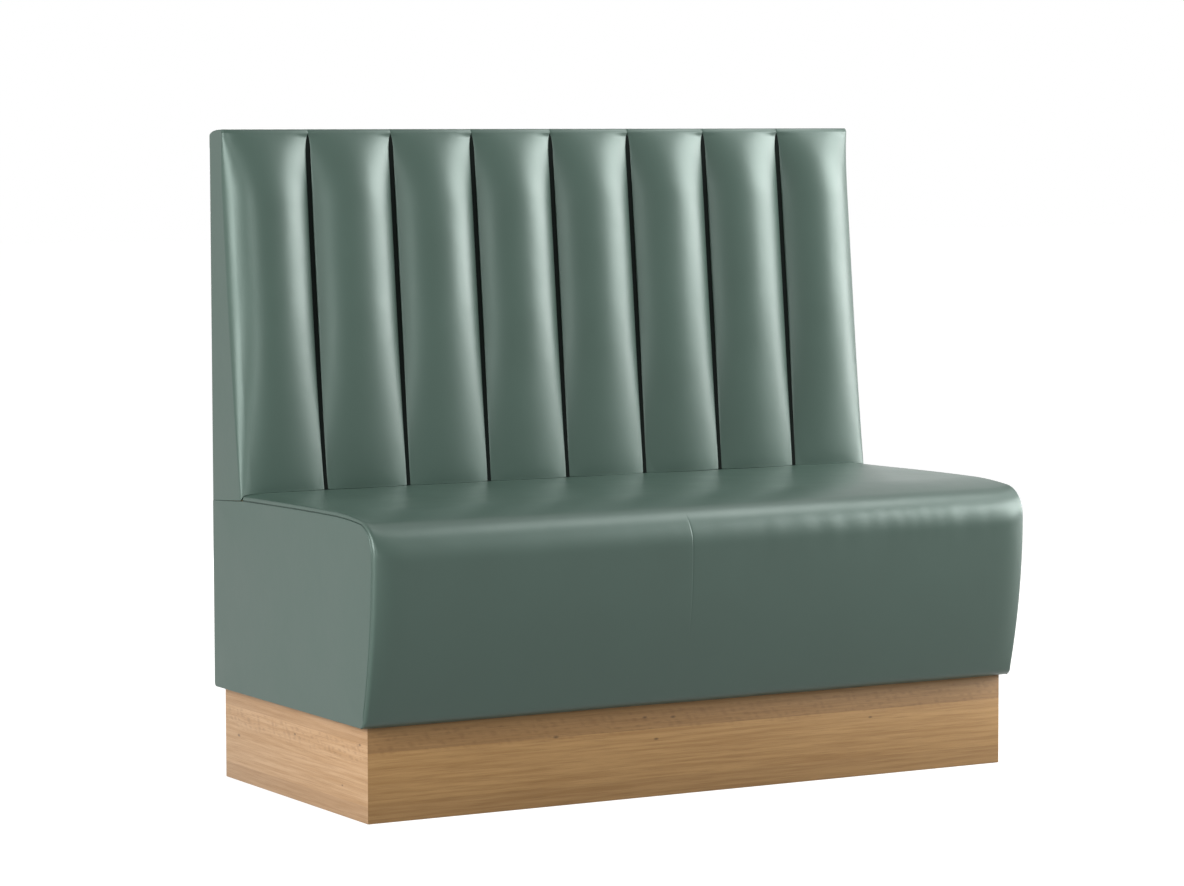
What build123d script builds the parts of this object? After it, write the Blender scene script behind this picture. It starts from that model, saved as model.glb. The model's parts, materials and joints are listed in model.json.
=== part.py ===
from build123d import *
import os
from math import atan2, cos, radians, sin, sqrt, tan

os.makedirs("parts", exist_ok=True)

# A restaurant booth bench in millimetres: a fluted backrest bolted on an upholstered seat box, on an oak
# plinth. X runs along the bench, Y from the sitter's knees to the wall, Z up. The origin is on the floor,
# under the middle of the whole bench. Sizes from front to rear are given as the distance ahead of the wall,
# called "ahead" below.

# Whole bench
channel_count = 8
channel_pitch = 150.0
width = channel_count * channel_pitch
depth = 600.0
height = 1058.0
wall = depth / 2
side = width / 2

# Skins, pads and clearances
leather = 1.5
side_pad = 4.5
rear_cloth = 0.6
soft_gap = 0.3
hem_width = 30.0

# Plinth
plinth_height = 150.0
plinth_front_setback = 61.0
plinth_rear_setback = 15.0
plinth_side_setback = 13.0
oak_board = 20.0
rear_rail_board = 18.0
cross_rail_board = 22.0
cross_rail_span = 390.0
corner_block = 45.0
corner_block_drop = 20.0

# Seat box
seat_top = 474.0
plywood = 18.0
front_ply = 12.0
rail_height = 45.0
front_rail_depth = 60.0
rear_rail_depth = 45.0
ledge_drop = 19.0
inner_rib_count = 3
panel_foot_setback = 59.0
panel_head_setback = 42.0
hem_drop = leather

# Seat padding and its leather
nose_radius = 62.0
nose_lean = 12.0
nose_run = 97.0
heel_setback = 41.0
heel_rise = 11.0
toe_setback = 54.0
crown_rise = 5.0
crown_reach = 11.0
crown_heel = 3.0
crown_span = 60.0
crown_power = 3
# Places along the crown's span, counted from the side seam
crown_span_shares = (0, 0.15, 0.45, 1)
seat_foam_thickness = 70.0
wadding = 5.0
centre_seam_x = -44.0

# Webbing under the seat foam
strap_width = 50.0
strap = 2.0
long_strap_count = 10
long_strap_margin = 47.0
cross_strap_count = 4
cross_strap_margin = 46.5
hessian = 1.0

# Backrest frame
back_foot = 116.0
back_rake = 5.9
back_ply = 9.0
back_rail = 20.0
top_pad = 4.5
top_corner = 12.0
frame_corner = 8.0
lip_radius = 4.0
joint_gap = 0.5
joint_drop = 12.0

# Fluted channels
bulge = 32.0
shoulder_in = 24.0
shoulder_share = 0.8
foot_share = 0.14
end_tuck = 8.0
side_wall = 2.0
groove_gap = 0.1
ply_end_gap = 8.0
# Share of the way up the backrest, and the share of the full bulge that a channel has there
swell_shares = (
    (0.00, 0.36),
    (0.07, 0.58),
    (0.22, 0.82),
    (0.48, 1.00),
    (0.74, 0.97),
    (0.91, 0.78),
    (0.975, 0.50),
    (1.00, 0.26),
)

# Fasteners
screw_radius = 2.25
screw_head_radius = 4.5
screw_head_height = 3.0
screw_length = 50.0
screw_fit = 0.2
base_screw_shares = (0.2, 0.5, 0.8)
bottom_rail_screw_shares = (0.25, 0.75)
top_rail_screw_share = 0.5
bolt_radius = 4.0
bolt_head_radius = 7.5
bolt_head_height = 5.3
bolt_length = 50.0
bolt_fit = 0.3
bolt_ahead = 60.0
washer_radius = 12.0
washer = 1.6
nut_barrel_radius = 5.2
nut_barrel_length = 9.0
nut_flange_radius = 11.0
nut_flange = 1.5

# Heights and places that follow from the sizes above
tilt = radians(back_rake)
hem_height = plinth_height - hem_drop
skin_inner = rear_cloth + leather
gable_outer = side - leather - side_pad
gable_inner = gable_outer - plywood
cover_end = side - leather
base_top = plinth_height + plywood
foam_inset = leather + 2 * soft_gap + wadding
foam_bottom = seat_top - foam_inset - seat_foam_thickness
frame_top = foam_bottom - hessian - 2 * strap
ledge_top = seat_top - ledge_drop
joint_rear_height = ledge_top + joint_gap
joint_front_height = seat_top - joint_drop
rib_top = frame_top - rail_height
tower_top = ledge_top - plywood
back_frame_top = height - leather - top_pad
plinth_front_ahead = depth - plinth_front_setback
plinth_side = side - plinth_side_setback
panel_foot_ahead = depth - panel_foot_setback
panel_head_ahead = depth - panel_head_setback
inner_rib_pitch = 2 * gable_inner / (inner_rib_count + 1)
slope_length = (back_frame_top - seat_top) / cos(tilt)


def groove_ahead(up, behind=0.0):
    """Distance ahead of the wall of the plane that the grooves lie in, or of one parallel behind it."""
    return back_foot - (up - seat_top) * tan(tilt) - behind / cos(tilt)


def panel_ahead(up, behind=0.0):
    """Distance ahead of the wall of the front panel's outer face, or of a plane parallel behind it."""
    lean = atan2(panel_head_ahead - panel_foot_ahead, frame_top - plinth_height)
    return panel_foot_ahead + (up - plinth_height) * tan(lean) - behind / cos(lean)


ledge_ahead = groove_ahead(ledge_top)
seat_rear_ahead = ledge_ahead + soft_gap


# How a round piece lies on its location
rising = (Align.CENTER, Align.CENTER, Align.MIN)
hanging = (Align.CENTER, Align.CENTER, Align.MAX)


def save(piece, label):
    """Names a finished piece and writes it to its own file."""
    piece.part.label = label
    export_step(piece.part, f"parts/{label}.step")


def side_face(x, outline):
    """Flat face square to the bench's length at x, from (ahead, height) points."""
    with BuildSketch(Plane.YZ.offset(x)) as face:
        with BuildLine():
            Polyline([(wall - ahead, up) for ahead, up in outline], close=True)
        make_face()
    return face.sketch


def save_board(label, x_low, x_high, outline):
    """A board whose section runs unchanged along the bench."""
    with BuildPart() as board:
        extrude(side_face(x_low, outline), amount=x_high - x_low)
    save(board, label)


def box_outline(ahead_low, ahead_high, low, high):
    return [(ahead_low, low), (ahead_high, low), (ahead_high, high), (ahead_low, high)]


def inward(sign, point):
    """Location on a side of the bench whose Z axis points out of it."""
    x, ahead, up = point
    return Location((sign * x, wall - ahead, up), (0, sign * 90, 0))


def screw_body(length, gap, mode):
    """Countersunk screw below its location, or the hole that clears it."""
    Cylinder(screw_radius + gap, length + gap, align=hanging, mode=mode)
    Cone(screw_radius + gap, screw_head_radius + gap, screw_head_height, align=hanging, mode=mode)


# Where the screws go: (x, ahead, height) on the bench's left and right
block_x = plinth_side - oak_board - corner_block / 2
block_rear = plinth_rear_setback + rear_rail_board + corner_block / 2
block_front = plinth_front_ahead - oak_board - corner_block / 2
base_screws = [
    Location((sign * x, wall - ahead, base_top))
    for sign in (-1, 1)
    for x in (block_x, cross_rail_span / 2)
    for ahead in (block_rear, block_front)
]
rail_middle = frame_top - rail_height / 2
front_rail_middle = panel_ahead(rail_middle, front_ply) - front_rail_depth / 2
rear_rail_middle = ledge_ahead + rear_rail_depth / 2
base_middle = plinth_height + plywood / 2
seat_screw_spots = [
    (gable_outer, block_rear + share * (block_front - block_rear), base_middle) for share in base_screw_shares
]
seat_screw_spots += [
    (gable_outer, rear_rail_middle, rail_middle),
    (gable_outer, front_rail_middle, rail_middle),
]
bottom_rail_middle = ledge_top + back_rail / 2
top_rail_middle = back_frame_top - back_rail / 2
back_screw_spots = [
    (gable_outer, groove_ahead(bottom_rail_middle, back_ply) * share, bottom_rail_middle)
    for share in bottom_rail_screw_shares
]
back_screw_spots.append(
    (gable_outer, groove_ahead(top_rail_middle, back_ply) * top_rail_screw_share, top_rail_middle)
)


def drill(spots, sign):
    """Cuts the holes of the screws on one side of the bench."""
    with Locations(*[inward(sign, spot) for spot in spots]):
        screw_body(screw_length, screw_fit, Mode.SUBTRACT)


# Plinth: oak boards mitred at the front corners, with a plain rear rail
plinth_front_y = wall - plinth_front_ahead
plinth_rear_y = wall - plinth_rear_setback
with BuildPart() as front_board:
    with BuildSketch():
        with BuildLine():
            Polyline(
                (-plinth_side, plinth_front_y),
                (plinth_side, plinth_front_y),
                (plinth_side - oak_board, plinth_front_y + oak_board),
                (oak_board - plinth_side, plinth_front_y + oak_board),
                close=True,
            )
        make_face()
    extrude(amount=plinth_height)
save(front_board, "plinth_front_board")

for name, sign in (("left", -1), ("right", 1)):
    with BuildPart() as side_board:
        with BuildSketch():
            with BuildLine():
                Polyline(
                    (sign * plinth_side, plinth_front_y),
                    (sign * plinth_side, plinth_rear_y),
                    (sign * (plinth_side - oak_board), plinth_rear_y),
                    (sign * (plinth_side - oak_board), plinth_front_y + oak_board),
                    close=True,
                )
            make_face()
        extrude(amount=plinth_height)
    save(side_board, f"plinth_{name}_board")

save_board(
    "plinth_rear_rail",
    oak_board - plinth_side,
    plinth_side - oak_board,
    box_outline(plinth_rear_setback, plinth_rear_setback + rear_rail_board, 0, plinth_height),
)

cross_rail_outline = box_outline(
    plinth_rear_setback + rear_rail_board, plinth_front_ahead - oak_board, 0, plinth_height
)
with BuildPart() as cross_rails:
    for sign in (-1, 1):
        x_low = sign * cross_rail_span / 2 - cross_rail_board / 2
        extrude(side_face(x_low, cross_rail_outline), amount=cross_rail_board)
    with Locations(*base_screws):
        screw_body(screw_length, screw_fit, Mode.SUBTRACT)
save(cross_rails, "plinth_cross_rails")

with BuildPart() as corner_blocks:
    block_middle = wall - (block_rear + block_front) / 2
    with BuildSketch(Plane.XY.offset(corner_block_drop)):
        with Locations((0, block_middle)):
            with GridLocations(2 * block_x, block_front - block_rear, 2, 2):
                Rectangle(corner_block, corner_block)
    extrude(amount=plinth_height - corner_block_drop)
    with Locations(*base_screws):
        screw_body(screw_length, screw_fit, Mode.SUBTRACT)
save(corner_blocks, "plinth_corner_blocks")

# Seat box: plywood gables and inner ribs on a base board, with rails that the webbing is stapled to
with BuildPart() as base_board:
    base_outline = [
        (skin_inner, plinth_height),
        (panel_ahead(plinth_height, front_ply), plinth_height),
        (panel_ahead(base_top, front_ply), base_top),
        (skin_inner, base_top),
    ]
    extrude(side_face(-gable_inner, base_outline), amount=2 * gable_inner)
    with Locations(*base_screws):
        screw_body(screw_length, screw_fit, Mode.SUBTRACT)
    for sign in (-1, 1):
        drill(seat_screw_spots, sign)
save(base_board, "seat_base_board")

gable_outline = [
    (skin_inner, plinth_height),
    (panel_ahead(plinth_height, front_ply), plinth_height),
    (panel_ahead(frame_top, front_ply), frame_top),
    (ledge_ahead, frame_top),
    (ledge_ahead, tower_top),
    (skin_inner, tower_top),
]
for name, sign, x_low in (("left", -1, -gable_outer), ("right", 1, gable_inner)):
    with BuildPart() as gable:
        extrude(side_face(x_low, gable_outline), amount=plywood)
        drill(seat_screw_spots, sign)
    save(gable, f"seat_{name}_gable")

rib_outline = [
    (skin_inner, base_top),
    (panel_ahead(base_top, front_ply), base_top),
    (panel_ahead(rib_top, front_ply), rib_top),
    (ledge_ahead, rib_top),
    (ledge_ahead, tower_top),
    (skin_inner, tower_top),
]
rib_lows = [(n - (inner_rib_count - 1) / 2) * inner_rib_pitch - plywood / 2 for n in range(inner_rib_count)]
with BuildPart() as seat_ribs:
    for x_low in rib_lows:
        extrude(side_face(x_low, rib_outline), amount=plywood)
save(seat_ribs, "seat_inner_ribs")

save_board(
    "seat_front_panel",
    -gable_outer,
    gable_outer,
    [
        (panel_ahead(plinth_height), plinth_height),
        (panel_ahead(frame_top), frame_top),
        (panel_ahead(frame_top, front_ply), frame_top),
        (panel_ahead(plinth_height, front_ply), plinth_height),
    ],
)

front_rail_rear = panel_ahead(rib_top, front_ply) - front_rail_depth
with BuildPart() as front_rail:
    rail_outline = [
        (front_rail_rear, rib_top),
        (panel_ahead(rib_top, front_ply), rib_top),
        (panel_ahead(frame_top, front_ply), frame_top),
        (front_rail_rear, frame_top),
    ]
    extrude(side_face(-gable_inner, rail_outline), amount=2 * gable_inner)
    for sign in (-1, 1):
        drill(seat_screw_spots, sign)
save(front_rail, "seat_front_rail")

with BuildPart() as rear_rail:
    rail_outline = box_outline(ledge_ahead, ledge_ahead + rear_rail_depth, rib_top, frame_top)
    extrude(side_face(-gable_inner, rail_outline), amount=2 * gable_inner)
    for sign in (-1, 1):
        drill(seat_screw_spots, sign)
save(rear_rail, "seat_rear_rail")

# Ledge that the backrest stands on, with its bolt holes
first_bolt_x = -inner_rib_count / 2 * inner_rib_pitch
bolt_spots = [(first_bolt_x + n * inner_rib_pitch, wall - bolt_ahead) for n in range(inner_rib_count + 1)]
ledge_outline = box_outline(skin_inner, ledge_ahead, tower_top, ledge_top)
with BuildPart() as ledge:
    extrude(side_face(-gable_outer, ledge_outline), amount=2 * gable_outer)
    with Locations(*[(x, y, ledge_top) for x, y in bolt_spots]):
        Hole(bolt_radius + bolt_fit)
save(ledge, "seat_back_ledge")

# Jute webbing on the rails, and the hessian sheet over it
strap_low = ledge_ahead
strap_high = panel_ahead(frame_top, front_ply)
strap_middle = wall - (strap_low + strap_high) / 2
long_strap_pitch = 2 * (gable_outer - long_strap_margin - strap_width / 2) / (long_strap_count - 1)
cross_strap_reach = strap_high - strap_low - 2 * cross_strap_margin - strap_width
cross_strap_pitch = cross_strap_reach / (cross_strap_count - 1)
with BuildPart() as long_straps:
    with BuildSketch(Plane.XY.offset(frame_top)):
        with Locations((0, strap_middle)):
            with GridLocations(long_strap_pitch, strap_width, long_strap_count, 1):
                Rectangle(strap_width, strap_high - strap_low)
    extrude(amount=strap)
save(long_straps, "seat_long_webbing")

with BuildPart() as cross_straps:
    with BuildSketch(Plane.XY.offset(frame_top + strap)):
        with Locations((0, strap_middle)):
            with GridLocations(strap_width, cross_strap_pitch, 1, cross_strap_count):
                Rectangle(2 * gable_outer, strap_width)
    extrude(amount=strap)
save(cross_straps, "seat_cross_webbing")

save_board(
    "seat_hessian",
    -gable_outer,
    gable_outer,
    box_outline(seat_rear_ahead, panel_ahead(frame_top), foam_bottom - hessian, foam_bottom),
)


# Seat padding: one rounded nose from the backrest over the front edge down to the plinth
def draw_nose(end_share, inset):
    """Draws the seat's outline, moved in by inset, and returns its two ends.

    end_share is 1 at the side seams, where the padding is drawn in, and 0 on the full crown."""
    lean = radians(nose_lean)
    front = depth - crown_reach * end_share
    top = seat_top - crown_rise * end_share
    crest_radius = nose_run / sin(lean)
    shoulder_ahead = front - nose_radius * (1 - sin(lean))
    shoulder_up = top - crest_radius * (1 - cos(lean))
    nose_up = shoulder_up - nose_radius * cos(lean)
    heel = depth - heel_setback - crown_heel * end_share
    heel_up = plinth_height + heel_rise
    toe = depth - toe_setback - crown_heel * end_share
    heel_lean = 2 * atan2(front - heel, nose_up - heel_up)

    rear_end = (wall - seat_rear_ahead, top - inset)
    crest = (wall - shoulder_ahead + nose_run, top - inset)
    shoulder = (wall - shoulder_ahead + inset * sin(lean), shoulder_up - inset * cos(lean))
    nose = (wall - front + inset, nose_up)
    heel_point = (wall - heel + inset * cos(heel_lean), heel_up + inset * sin(heel_lean))
    toe_point = (wall - toe, hem_height + inset)
    hem_end = (wall - panel_ahead(hem_height + inset) - soft_gap, hem_height + inset)

    Line(rear_end, crest)
    crest_arc = TangentArc(crest, shoulder, tangent=(-1, 0))
    TangentArc(shoulder, nose, tangent=crest_arc % 1)
    front_arc = TangentArc(nose, heel_point, tangent=(0, -1))
    TangentArc(heel_point, toe_point, tangent=front_arc % 1)
    Line(toe_point, hem_end)
    return rear_end, hem_end


def nose_stations():
    """Places along the bench, with the end share there: crowned over a short span at each side."""
    half = [
        (cover_end - crown_span * share, (1 - share) ** crown_power)
        for share in crown_span_shares
    ]
    half += [((cover_end - crown_span) / 2, 0)]
    return [(-x, share) for x, share in half] + [(x, share) for x, share in reversed(half)]


def nose_skin(x, end_share, outer, inner):
    """Section of a skin between two insets of the seat's outline."""
    with BuildSketch(Plane.YZ.offset(x)) as face:
        with BuildLine():
            outer_rear, outer_hem = draw_nose(end_share, outer)
            inner_rear, inner_hem = draw_nose(end_share, inner)
            Line(outer_rear, inner_rear)
            Line(outer_hem, inner_hem)
        make_face()
    return face.sketch


def nose_block(x, end_share, inset):
    """Section of all that lies inside an inset of the seat's outline."""
    with BuildSketch(Plane.YZ.offset(x)) as face:
        with BuildLine():
            rear_end, hem_end = draw_nose(end_share, inset)
            Polyline(rear_end, (rear_end[0], hem_end[1]), hem_end)
        make_face()
    return face.sketch


with BuildPart() as wadding_sheet:
    inner_inset = leather + soft_gap + wadding
    loft([nose_skin(x, share, leather + soft_gap, inner_inset) for x, share in nose_stations()], ruled=True)
    split(bisect_by=Plane.YZ.offset(-gable_outer), keep=Keep.TOP)
    split(bisect_by=Plane.YZ.offset(gable_outer), keep=Keep.BOTTOM)
save(wadding_sheet, "seat_wadding")

with BuildPart() as padding:
    loft([nose_block(x, share, foam_inset) for x, share in nose_stations()], ruled=True)
    split(bisect_by=Plane.YZ.offset(-gable_outer), keep=Keep.TOP)
    split(bisect_by=Plane.YZ.offset(gable_outer), keep=Keep.BOTTOM)
with BuildPart() as seat_foam:
    add(padding.part)
    split(bisect_by=Plane.XY.offset(foam_bottom), keep=Keep.TOP)
save(seat_foam, "seat_foam")

with BuildPart() as front_foam:
    add(padding.part)
    split(bisect_by=Plane.XY.offset(foam_bottom), keep=Keep.BOTTOM)
    behind_panel = [
        (panel_ahead(0), 0),
        (panel_ahead(foam_bottom), foam_bottom),
        (0, foam_bottom),
        (0, 0),
    ]
    extrude(side_face(-side, behind_panel), amount=width, mode=Mode.SUBTRACT)
save(front_foam, "seat_front_foam")

# Seat leather: a top cover in two lengths sewn at one seam, and a flat cover on each side
for name, keep in (("left", Keep.BOTTOM), ("right", Keep.TOP)):
    with BuildPart() as cover:
        loft([nose_skin(x, share, 0, leather) for x, share in nose_stations()], ruled=True)
        split(bisect_by=Plane.YZ.offset(centre_seam_x), keep=keep)
    save(cover, f"seat_{name}_top_cover")


def seat_side_face(x, inset, rear_edge):
    """The seat's side outline, from the plinth up to its joint with the backrest, and round the nose."""
    with BuildSketch(Plane.YZ.offset(x)) as face:
        with BuildLine():
            rear_end, hem_end = draw_nose(1, inset)
            Polyline(
                rear_end,
                (wall - seat_rear_ahead, joint_front_height),
                (wall - rear_edge, joint_rear_height),
                (wall - rear_edge, hem_end[1]),
                hem_end,
            )
        make_face()
    return face.sketch


def add_rear_hem(sign, low, high):
    """Adds the strip of side leather that is turned in over the rear edge."""
    x_low = min(sign * cover_end, sign * (cover_end - hem_width))
    extrude(side_face(x_low, box_outline(rear_cloth, skin_inner, low, high)), amount=hem_width)


pad_inset = leather + soft_gap
for name, sign in (("left", -1), ("right", 1)):
    pad_low = min(sign * gable_outer, sign * cover_end)
    skin_low = min(sign * cover_end, sign * side)
    with BuildPart() as pad:
        extrude(seat_side_face(pad_low, pad_inset, skin_inner), amount=side_pad)
    save(pad, f"seat_{name}_side_pad")
    with BuildPart() as side_cover:
        extrude(seat_side_face(skin_low, 0, rear_cloth), amount=leather)
        add_rear_hem(sign, plinth_height, joint_rear_height)
    save(side_cover, f"seat_{name}_side_cover")

save_board(
    "seat_rear_cloth",
    hem_width / 2 - cover_end,
    cover_end - hem_width / 2,
    box_outline(0, rear_cloth, plinth_height, joint_rear_height),
)

# Backrest frame: plywood gables and ribs between two rails, faced with the ply that the channels are fixed to
rib_foot = ledge_top + back_rail
rib_head = back_frame_top - back_rail


def back_outline(low, high):
    """Section between the rear edge and the back of the front ply."""
    return [
        (skin_inner, low),
        (groove_ahead(low, back_ply), low),
        (groove_ahead(high, back_ply), high),
        (skin_inner, high),
    ]


def round_rear_top():
    """Rounds the upper rear edge of the piece that reaches the top of the frame."""
    corner = edges().filter_by(Axis.X).group_by(Axis.Y)[-1].sort_by(Axis.Z)[-1]
    fillet(corner, frame_corner)


for name, sign, x_low in (("left", -1, -gable_outer), ("right", 1, gable_inner)):
    with BuildPart() as gable:
        extrude(side_face(x_low, back_outline(ledge_top, back_frame_top)), amount=plywood)
        round_rear_top()
        drill(back_screw_spots, sign)
    save(gable, f"back_{name}_gable")

with BuildPart() as back_ribs:
    for x_low in rib_lows:
        extrude(side_face(x_low, back_outline(rib_foot, rib_head)), amount=plywood)
save(back_ribs, "back_inner_ribs")

with BuildPart() as top_rail:
    extrude(side_face(-gable_inner, back_outline(rib_head, back_frame_top)), amount=2 * gable_inner)
    round_rear_top()
    for sign in (-1, 1):
        drill(back_screw_spots, sign)
save(top_rail, "back_top_rail")

with BuildPart() as bottom_rail:
    extrude(side_face(-gable_inner, back_outline(ledge_top, rib_foot)), amount=2 * gable_inner)
    with Locations(*[(x, y, rib_foot) for x, y in bolt_spots]):
        CounterBoreHole(bolt_radius + bolt_fit, nut_barrel_radius + bolt_fit, nut_barrel_length + bolt_fit)
    for sign in (-1, 1):
        drill(back_screw_spots, sign)
save(bottom_rail, "back_bottom_rail")

ply_end = gable_outer - ply_end_gap
save_board(
    "back_front_ply",
    -ply_end,
    ply_end,
    [
        (groove_ahead(ledge_top), ledge_top),
        (groove_ahead(back_frame_top), back_frame_top),
        (groove_ahead(back_frame_top, back_ply), back_frame_top),
        (groove_ahead(ledge_top, back_ply), ledge_top),
    ],
)

# Fluted channels: each is a foam strip on the front ply, with its own strip of leather over it
half_channel = channel_pitch / 2 - groove_gap


def slope_plane(x, run):
    """Plane square to the backrest's slope, a run up from the seat. Its own Y points into the frame."""
    origin = (x, wall - back_foot + run * sin(tilt), seat_top + run * cos(tilt))
    return Plane(origin=origin, x_dir=(1, 0, 0), z_dir=(0, sin(tilt), cos(tilt)))


def channel_points(swell, inset, outer_side):
    """A channel's crest, and on each side its shoulder, foot and base, moved in by inset.

    outer_side is -1 or 1 where that side is an end of the bench, whose leather runs on round the corner."""
    crest = bulge * swell
    shoulder = shoulder_share * crest
    shoulder_x = half_channel - shoulder_in
    lean = 2 * atan2(crest - shoulder, shoulder_x)
    sides = []
    for sign in (-1, 1):
        is_end = sign == outer_side
        x = sign * (half_channel - inset)
        shoulder_point = (sign * (shoulder_x - inset * sin(lean)), inset * cos(lean) - shoulder)
        foot_point = (x, end_tuck * swell if is_end else -foot_share * crest)
        base_point = (x, end_tuck + side_wall if is_end else 0)
        sides.append((shoulder_point, foot_point, base_point))
    return (0, inset - crest), sides[0], sides[1]


def draw_channel(swell, inset, outer_side):
    """Draws a channel's rounded outline from base to base and returns its two ends."""
    crest, left, right = channel_points(swell, inset, outer_side)
    crown = ThreePointArc(left[0], crest, right[0])
    TangentArc(left[0], left[1], tangent=-(crown % 0))
    TangentArc(right[0], right[1], tangent=crown % 1)
    Line(left[1], left[2])
    Line(right[1], right[2])
    return left[2], right[2]


def leather_section(x, run, swell, outer_side):
    with BuildSketch(slope_plane(x, run)) as face:
        with BuildLine():
            outer_left, outer_right = draw_channel(swell, 0, outer_side)
            inner_left, inner_right = draw_channel(swell, leather, outer_side)
            Line(outer_left, inner_left)
            Line(outer_right, inner_right)
        make_face()
    return face.sketch


def foam_section(x, run, swell, outer_side):
    """Straight-sided section that lies just inside the leather, with its base on the ply."""
    crest, left, right = channel_points(swell, leather + soft_gap, outer_side)
    ply_edge = half_channel + groove_gap - side + ply_end
    left_foot = [(-ply_edge, 0)] if outer_side == -1 else [left[2], left[1]]
    right_foot = [(ply_edge, 0)] if outer_side == 1 else [right[1], right[2]]
    with BuildSketch(slope_plane(x, run)) as face:
        with BuildLine():
            Polyline([*left_foot, left[0], crest, right[0], *right_foot], close=True)
        make_face()
    return face.sketch


def trim_channel():
    """Cuts a channel level, just above the seat and under the pad on the backrest's top."""
    split(bisect_by=Plane.XY.offset(seat_top + soft_gap), keep=Keep.TOP)
    split(bisect_by=Plane.XY.offset(back_frame_top), keep=Keep.BOTTOM)


lip_ahead = groove_ahead(back_frame_top) + bulge * swell_shares[-1][1]


def back_side_outline(rear_edge, behind):
    """The backrest's side outline, from its joint with the seat to the channels' top."""
    return [
        (rear_edge, joint_rear_height),
        (groove_ahead(joint_front_height, behind), joint_front_height),
        (groove_ahead(back_frame_top, behind), back_frame_top),
        (rear_edge, back_frame_top),
    ]


def add_end_panel(sign):
    """Adds the flat side of the backrest, which an end channel's leather runs on into."""
    x_low = min(sign * cover_end, sign * side)
    outline = back_side_outline(rear_cloth, end_tuck + side_wall)
    extrude(side_face(x_low, outline), amount=leather)
    head = box_outline(rear_cloth, lip_ahead, back_frame_top, height)
    extrude(side_face(x_low, head), amount=leather)
    rear_top = edges().filter_by(Axis.X).group_by(Axis.Z)[-1].sort_by(Axis.Y)
    fillet(rear_top[-1], top_corner)
    front_top = edges().filter_by(Axis.X).group_by(Axis.Z)[-1].sort_by(Axis.Y)
    fillet(front_top[0], lip_radius)
    add_rear_hem(sign, joint_rear_height, height - hem_width - soft_gap)


foam_shares = (swell_shares[0], swell_shares[2], swell_shares[-3], swell_shares[-1])
for number in range(channel_count):
    x = (number + 0.5) * channel_pitch - side
    outer_side = {0: -1, channel_count - 1: 1}.get(number, 0)
    foam_faces = [foam_section(x, share * slope_length, swell, outer_side) for share, swell in foam_shares]
    skin_faces = [leather_section(x, share * slope_length, swell, outer_side) for share, swell in swell_shares]
    with BuildPart() as channel_foam:
        loft(foam_faces, ruled=True)
        trim_channel()
    save(channel_foam, f"channel_foam_{number + 1}")
    with BuildPart() as channel_cover:
        loft(skin_faces, ruled=True)
        trim_channel()
        if outer_side:
            add_end_panel(outer_side)
    save(channel_cover, f"channel_cover_{number + 1}")

# Backrest pads and the leather over its top
for name, sign in (("left", -1), ("right", 1)):
    with BuildPart() as pad:
        pad_low = min(sign * gable_outer, sign * cover_end)
        extrude(side_face(pad_low, back_side_outline(skin_inner, end_tuck + side_wall)), amount=side_pad)
        round_rear_top()
    save(pad, f"back_{name}_side_pad")

inner_corner = top_corner - leather
pad_rear = skin_inner + inner_corner - sqrt(inner_corner**2 - (inner_corner - top_pad) ** 2) + soft_gap
save_board(
    "back_top_pad",
    -cover_end,
    cover_end,
    [
        (pad_rear, back_frame_top),
        (lip_ahead - leather - soft_gap, back_frame_top),
        (lip_ahead - leather - soft_gap, height - lip_radius),
        (lip_ahead - lip_radius, height - leather),
        (rear_cloth + top_corner, height - leather),
    ],
)

with BuildPart() as top_cover:
    with BuildSketch(Plane.YZ.offset(-cover_end)) as section:
        with BuildLine():
            outer_skin = FilletPolyline(
                (wall - rear_cloth, height - hem_width),
                (wall - rear_cloth, height),
                (wall - lip_ahead, height),
                (wall - lip_ahead, back_frame_top),
                radius=(top_corner, lip_radius),
            )
            inner_skin = FilletPolyline(
                (wall - skin_inner, height - hem_width),
                (wall - skin_inner, height - leather),
                (wall - lip_ahead + leather, height - leather),
                (wall - lip_ahead + leather, back_frame_top),
                radius=(inner_corner, lip_radius - leather),
            )
            Line(outer_skin @ 0, inner_skin @ 0)
            Line(outer_skin @ 1, inner_skin @ 1)
        make_face()
    extrude(amount=2 * cover_end)
save(top_cover, "back_top_cover")

save_board(
    "back_rear_cloth",
    hem_width / 2 - cover_end,
    cover_end - hem_width / 2,
    box_outline(0, rear_cloth, joint_rear_height, height - hem_width / 2),
)

# Fasteners
with BuildPart() as plinth_screws:
    with Locations(*base_screws):
        screw_body(screw_length, 0, Mode.ADD)
save(plinth_screws, "seat_to_plinth_screws")

for label, spots in (("seat_frame_screws", seat_screw_spots), ("back_frame_screws", back_screw_spots)):
    with BuildPart() as frame_screws:
        for sign in (-1, 1):
            with Locations(*[inward(sign, spot) for spot in spots]):
                screw_body(screw_length, 0, Mode.ADD)
    save(frame_screws, label)

with BuildPart() as bolts:
    with Locations(*[(x, y, tower_top) for x, y in bolt_spots]):
        Cylinder(washer_radius, washer, align=hanging)
        Cylinder(bolt_radius, bolt_length - washer, align=rising)
    with BuildSketch(Plane.XY.offset(tower_top - washer)):
        with Locations(*bolt_spots):
            RegularPolygon(bolt_head_radius, 6)
    extrude(amount=-bolt_head_height)
save(bolts, "back_bolts")

with BuildPart() as nuts:
    with Locations(*[(x, y, rib_foot) for x, y in bolt_spots]):
        Cylinder(nut_flange_radius, nut_flange, align=rising)
        Cylinder(nut_barrel_radius, nut_barrel_length, align=hanging)
    with Locations(*[(x, y, rib_foot + nut_flange) for x, y in bolt_spots]):
        Hole(bolt_radius + bolt_fit / 2)
save(nuts, "back_t_nuts")
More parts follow.
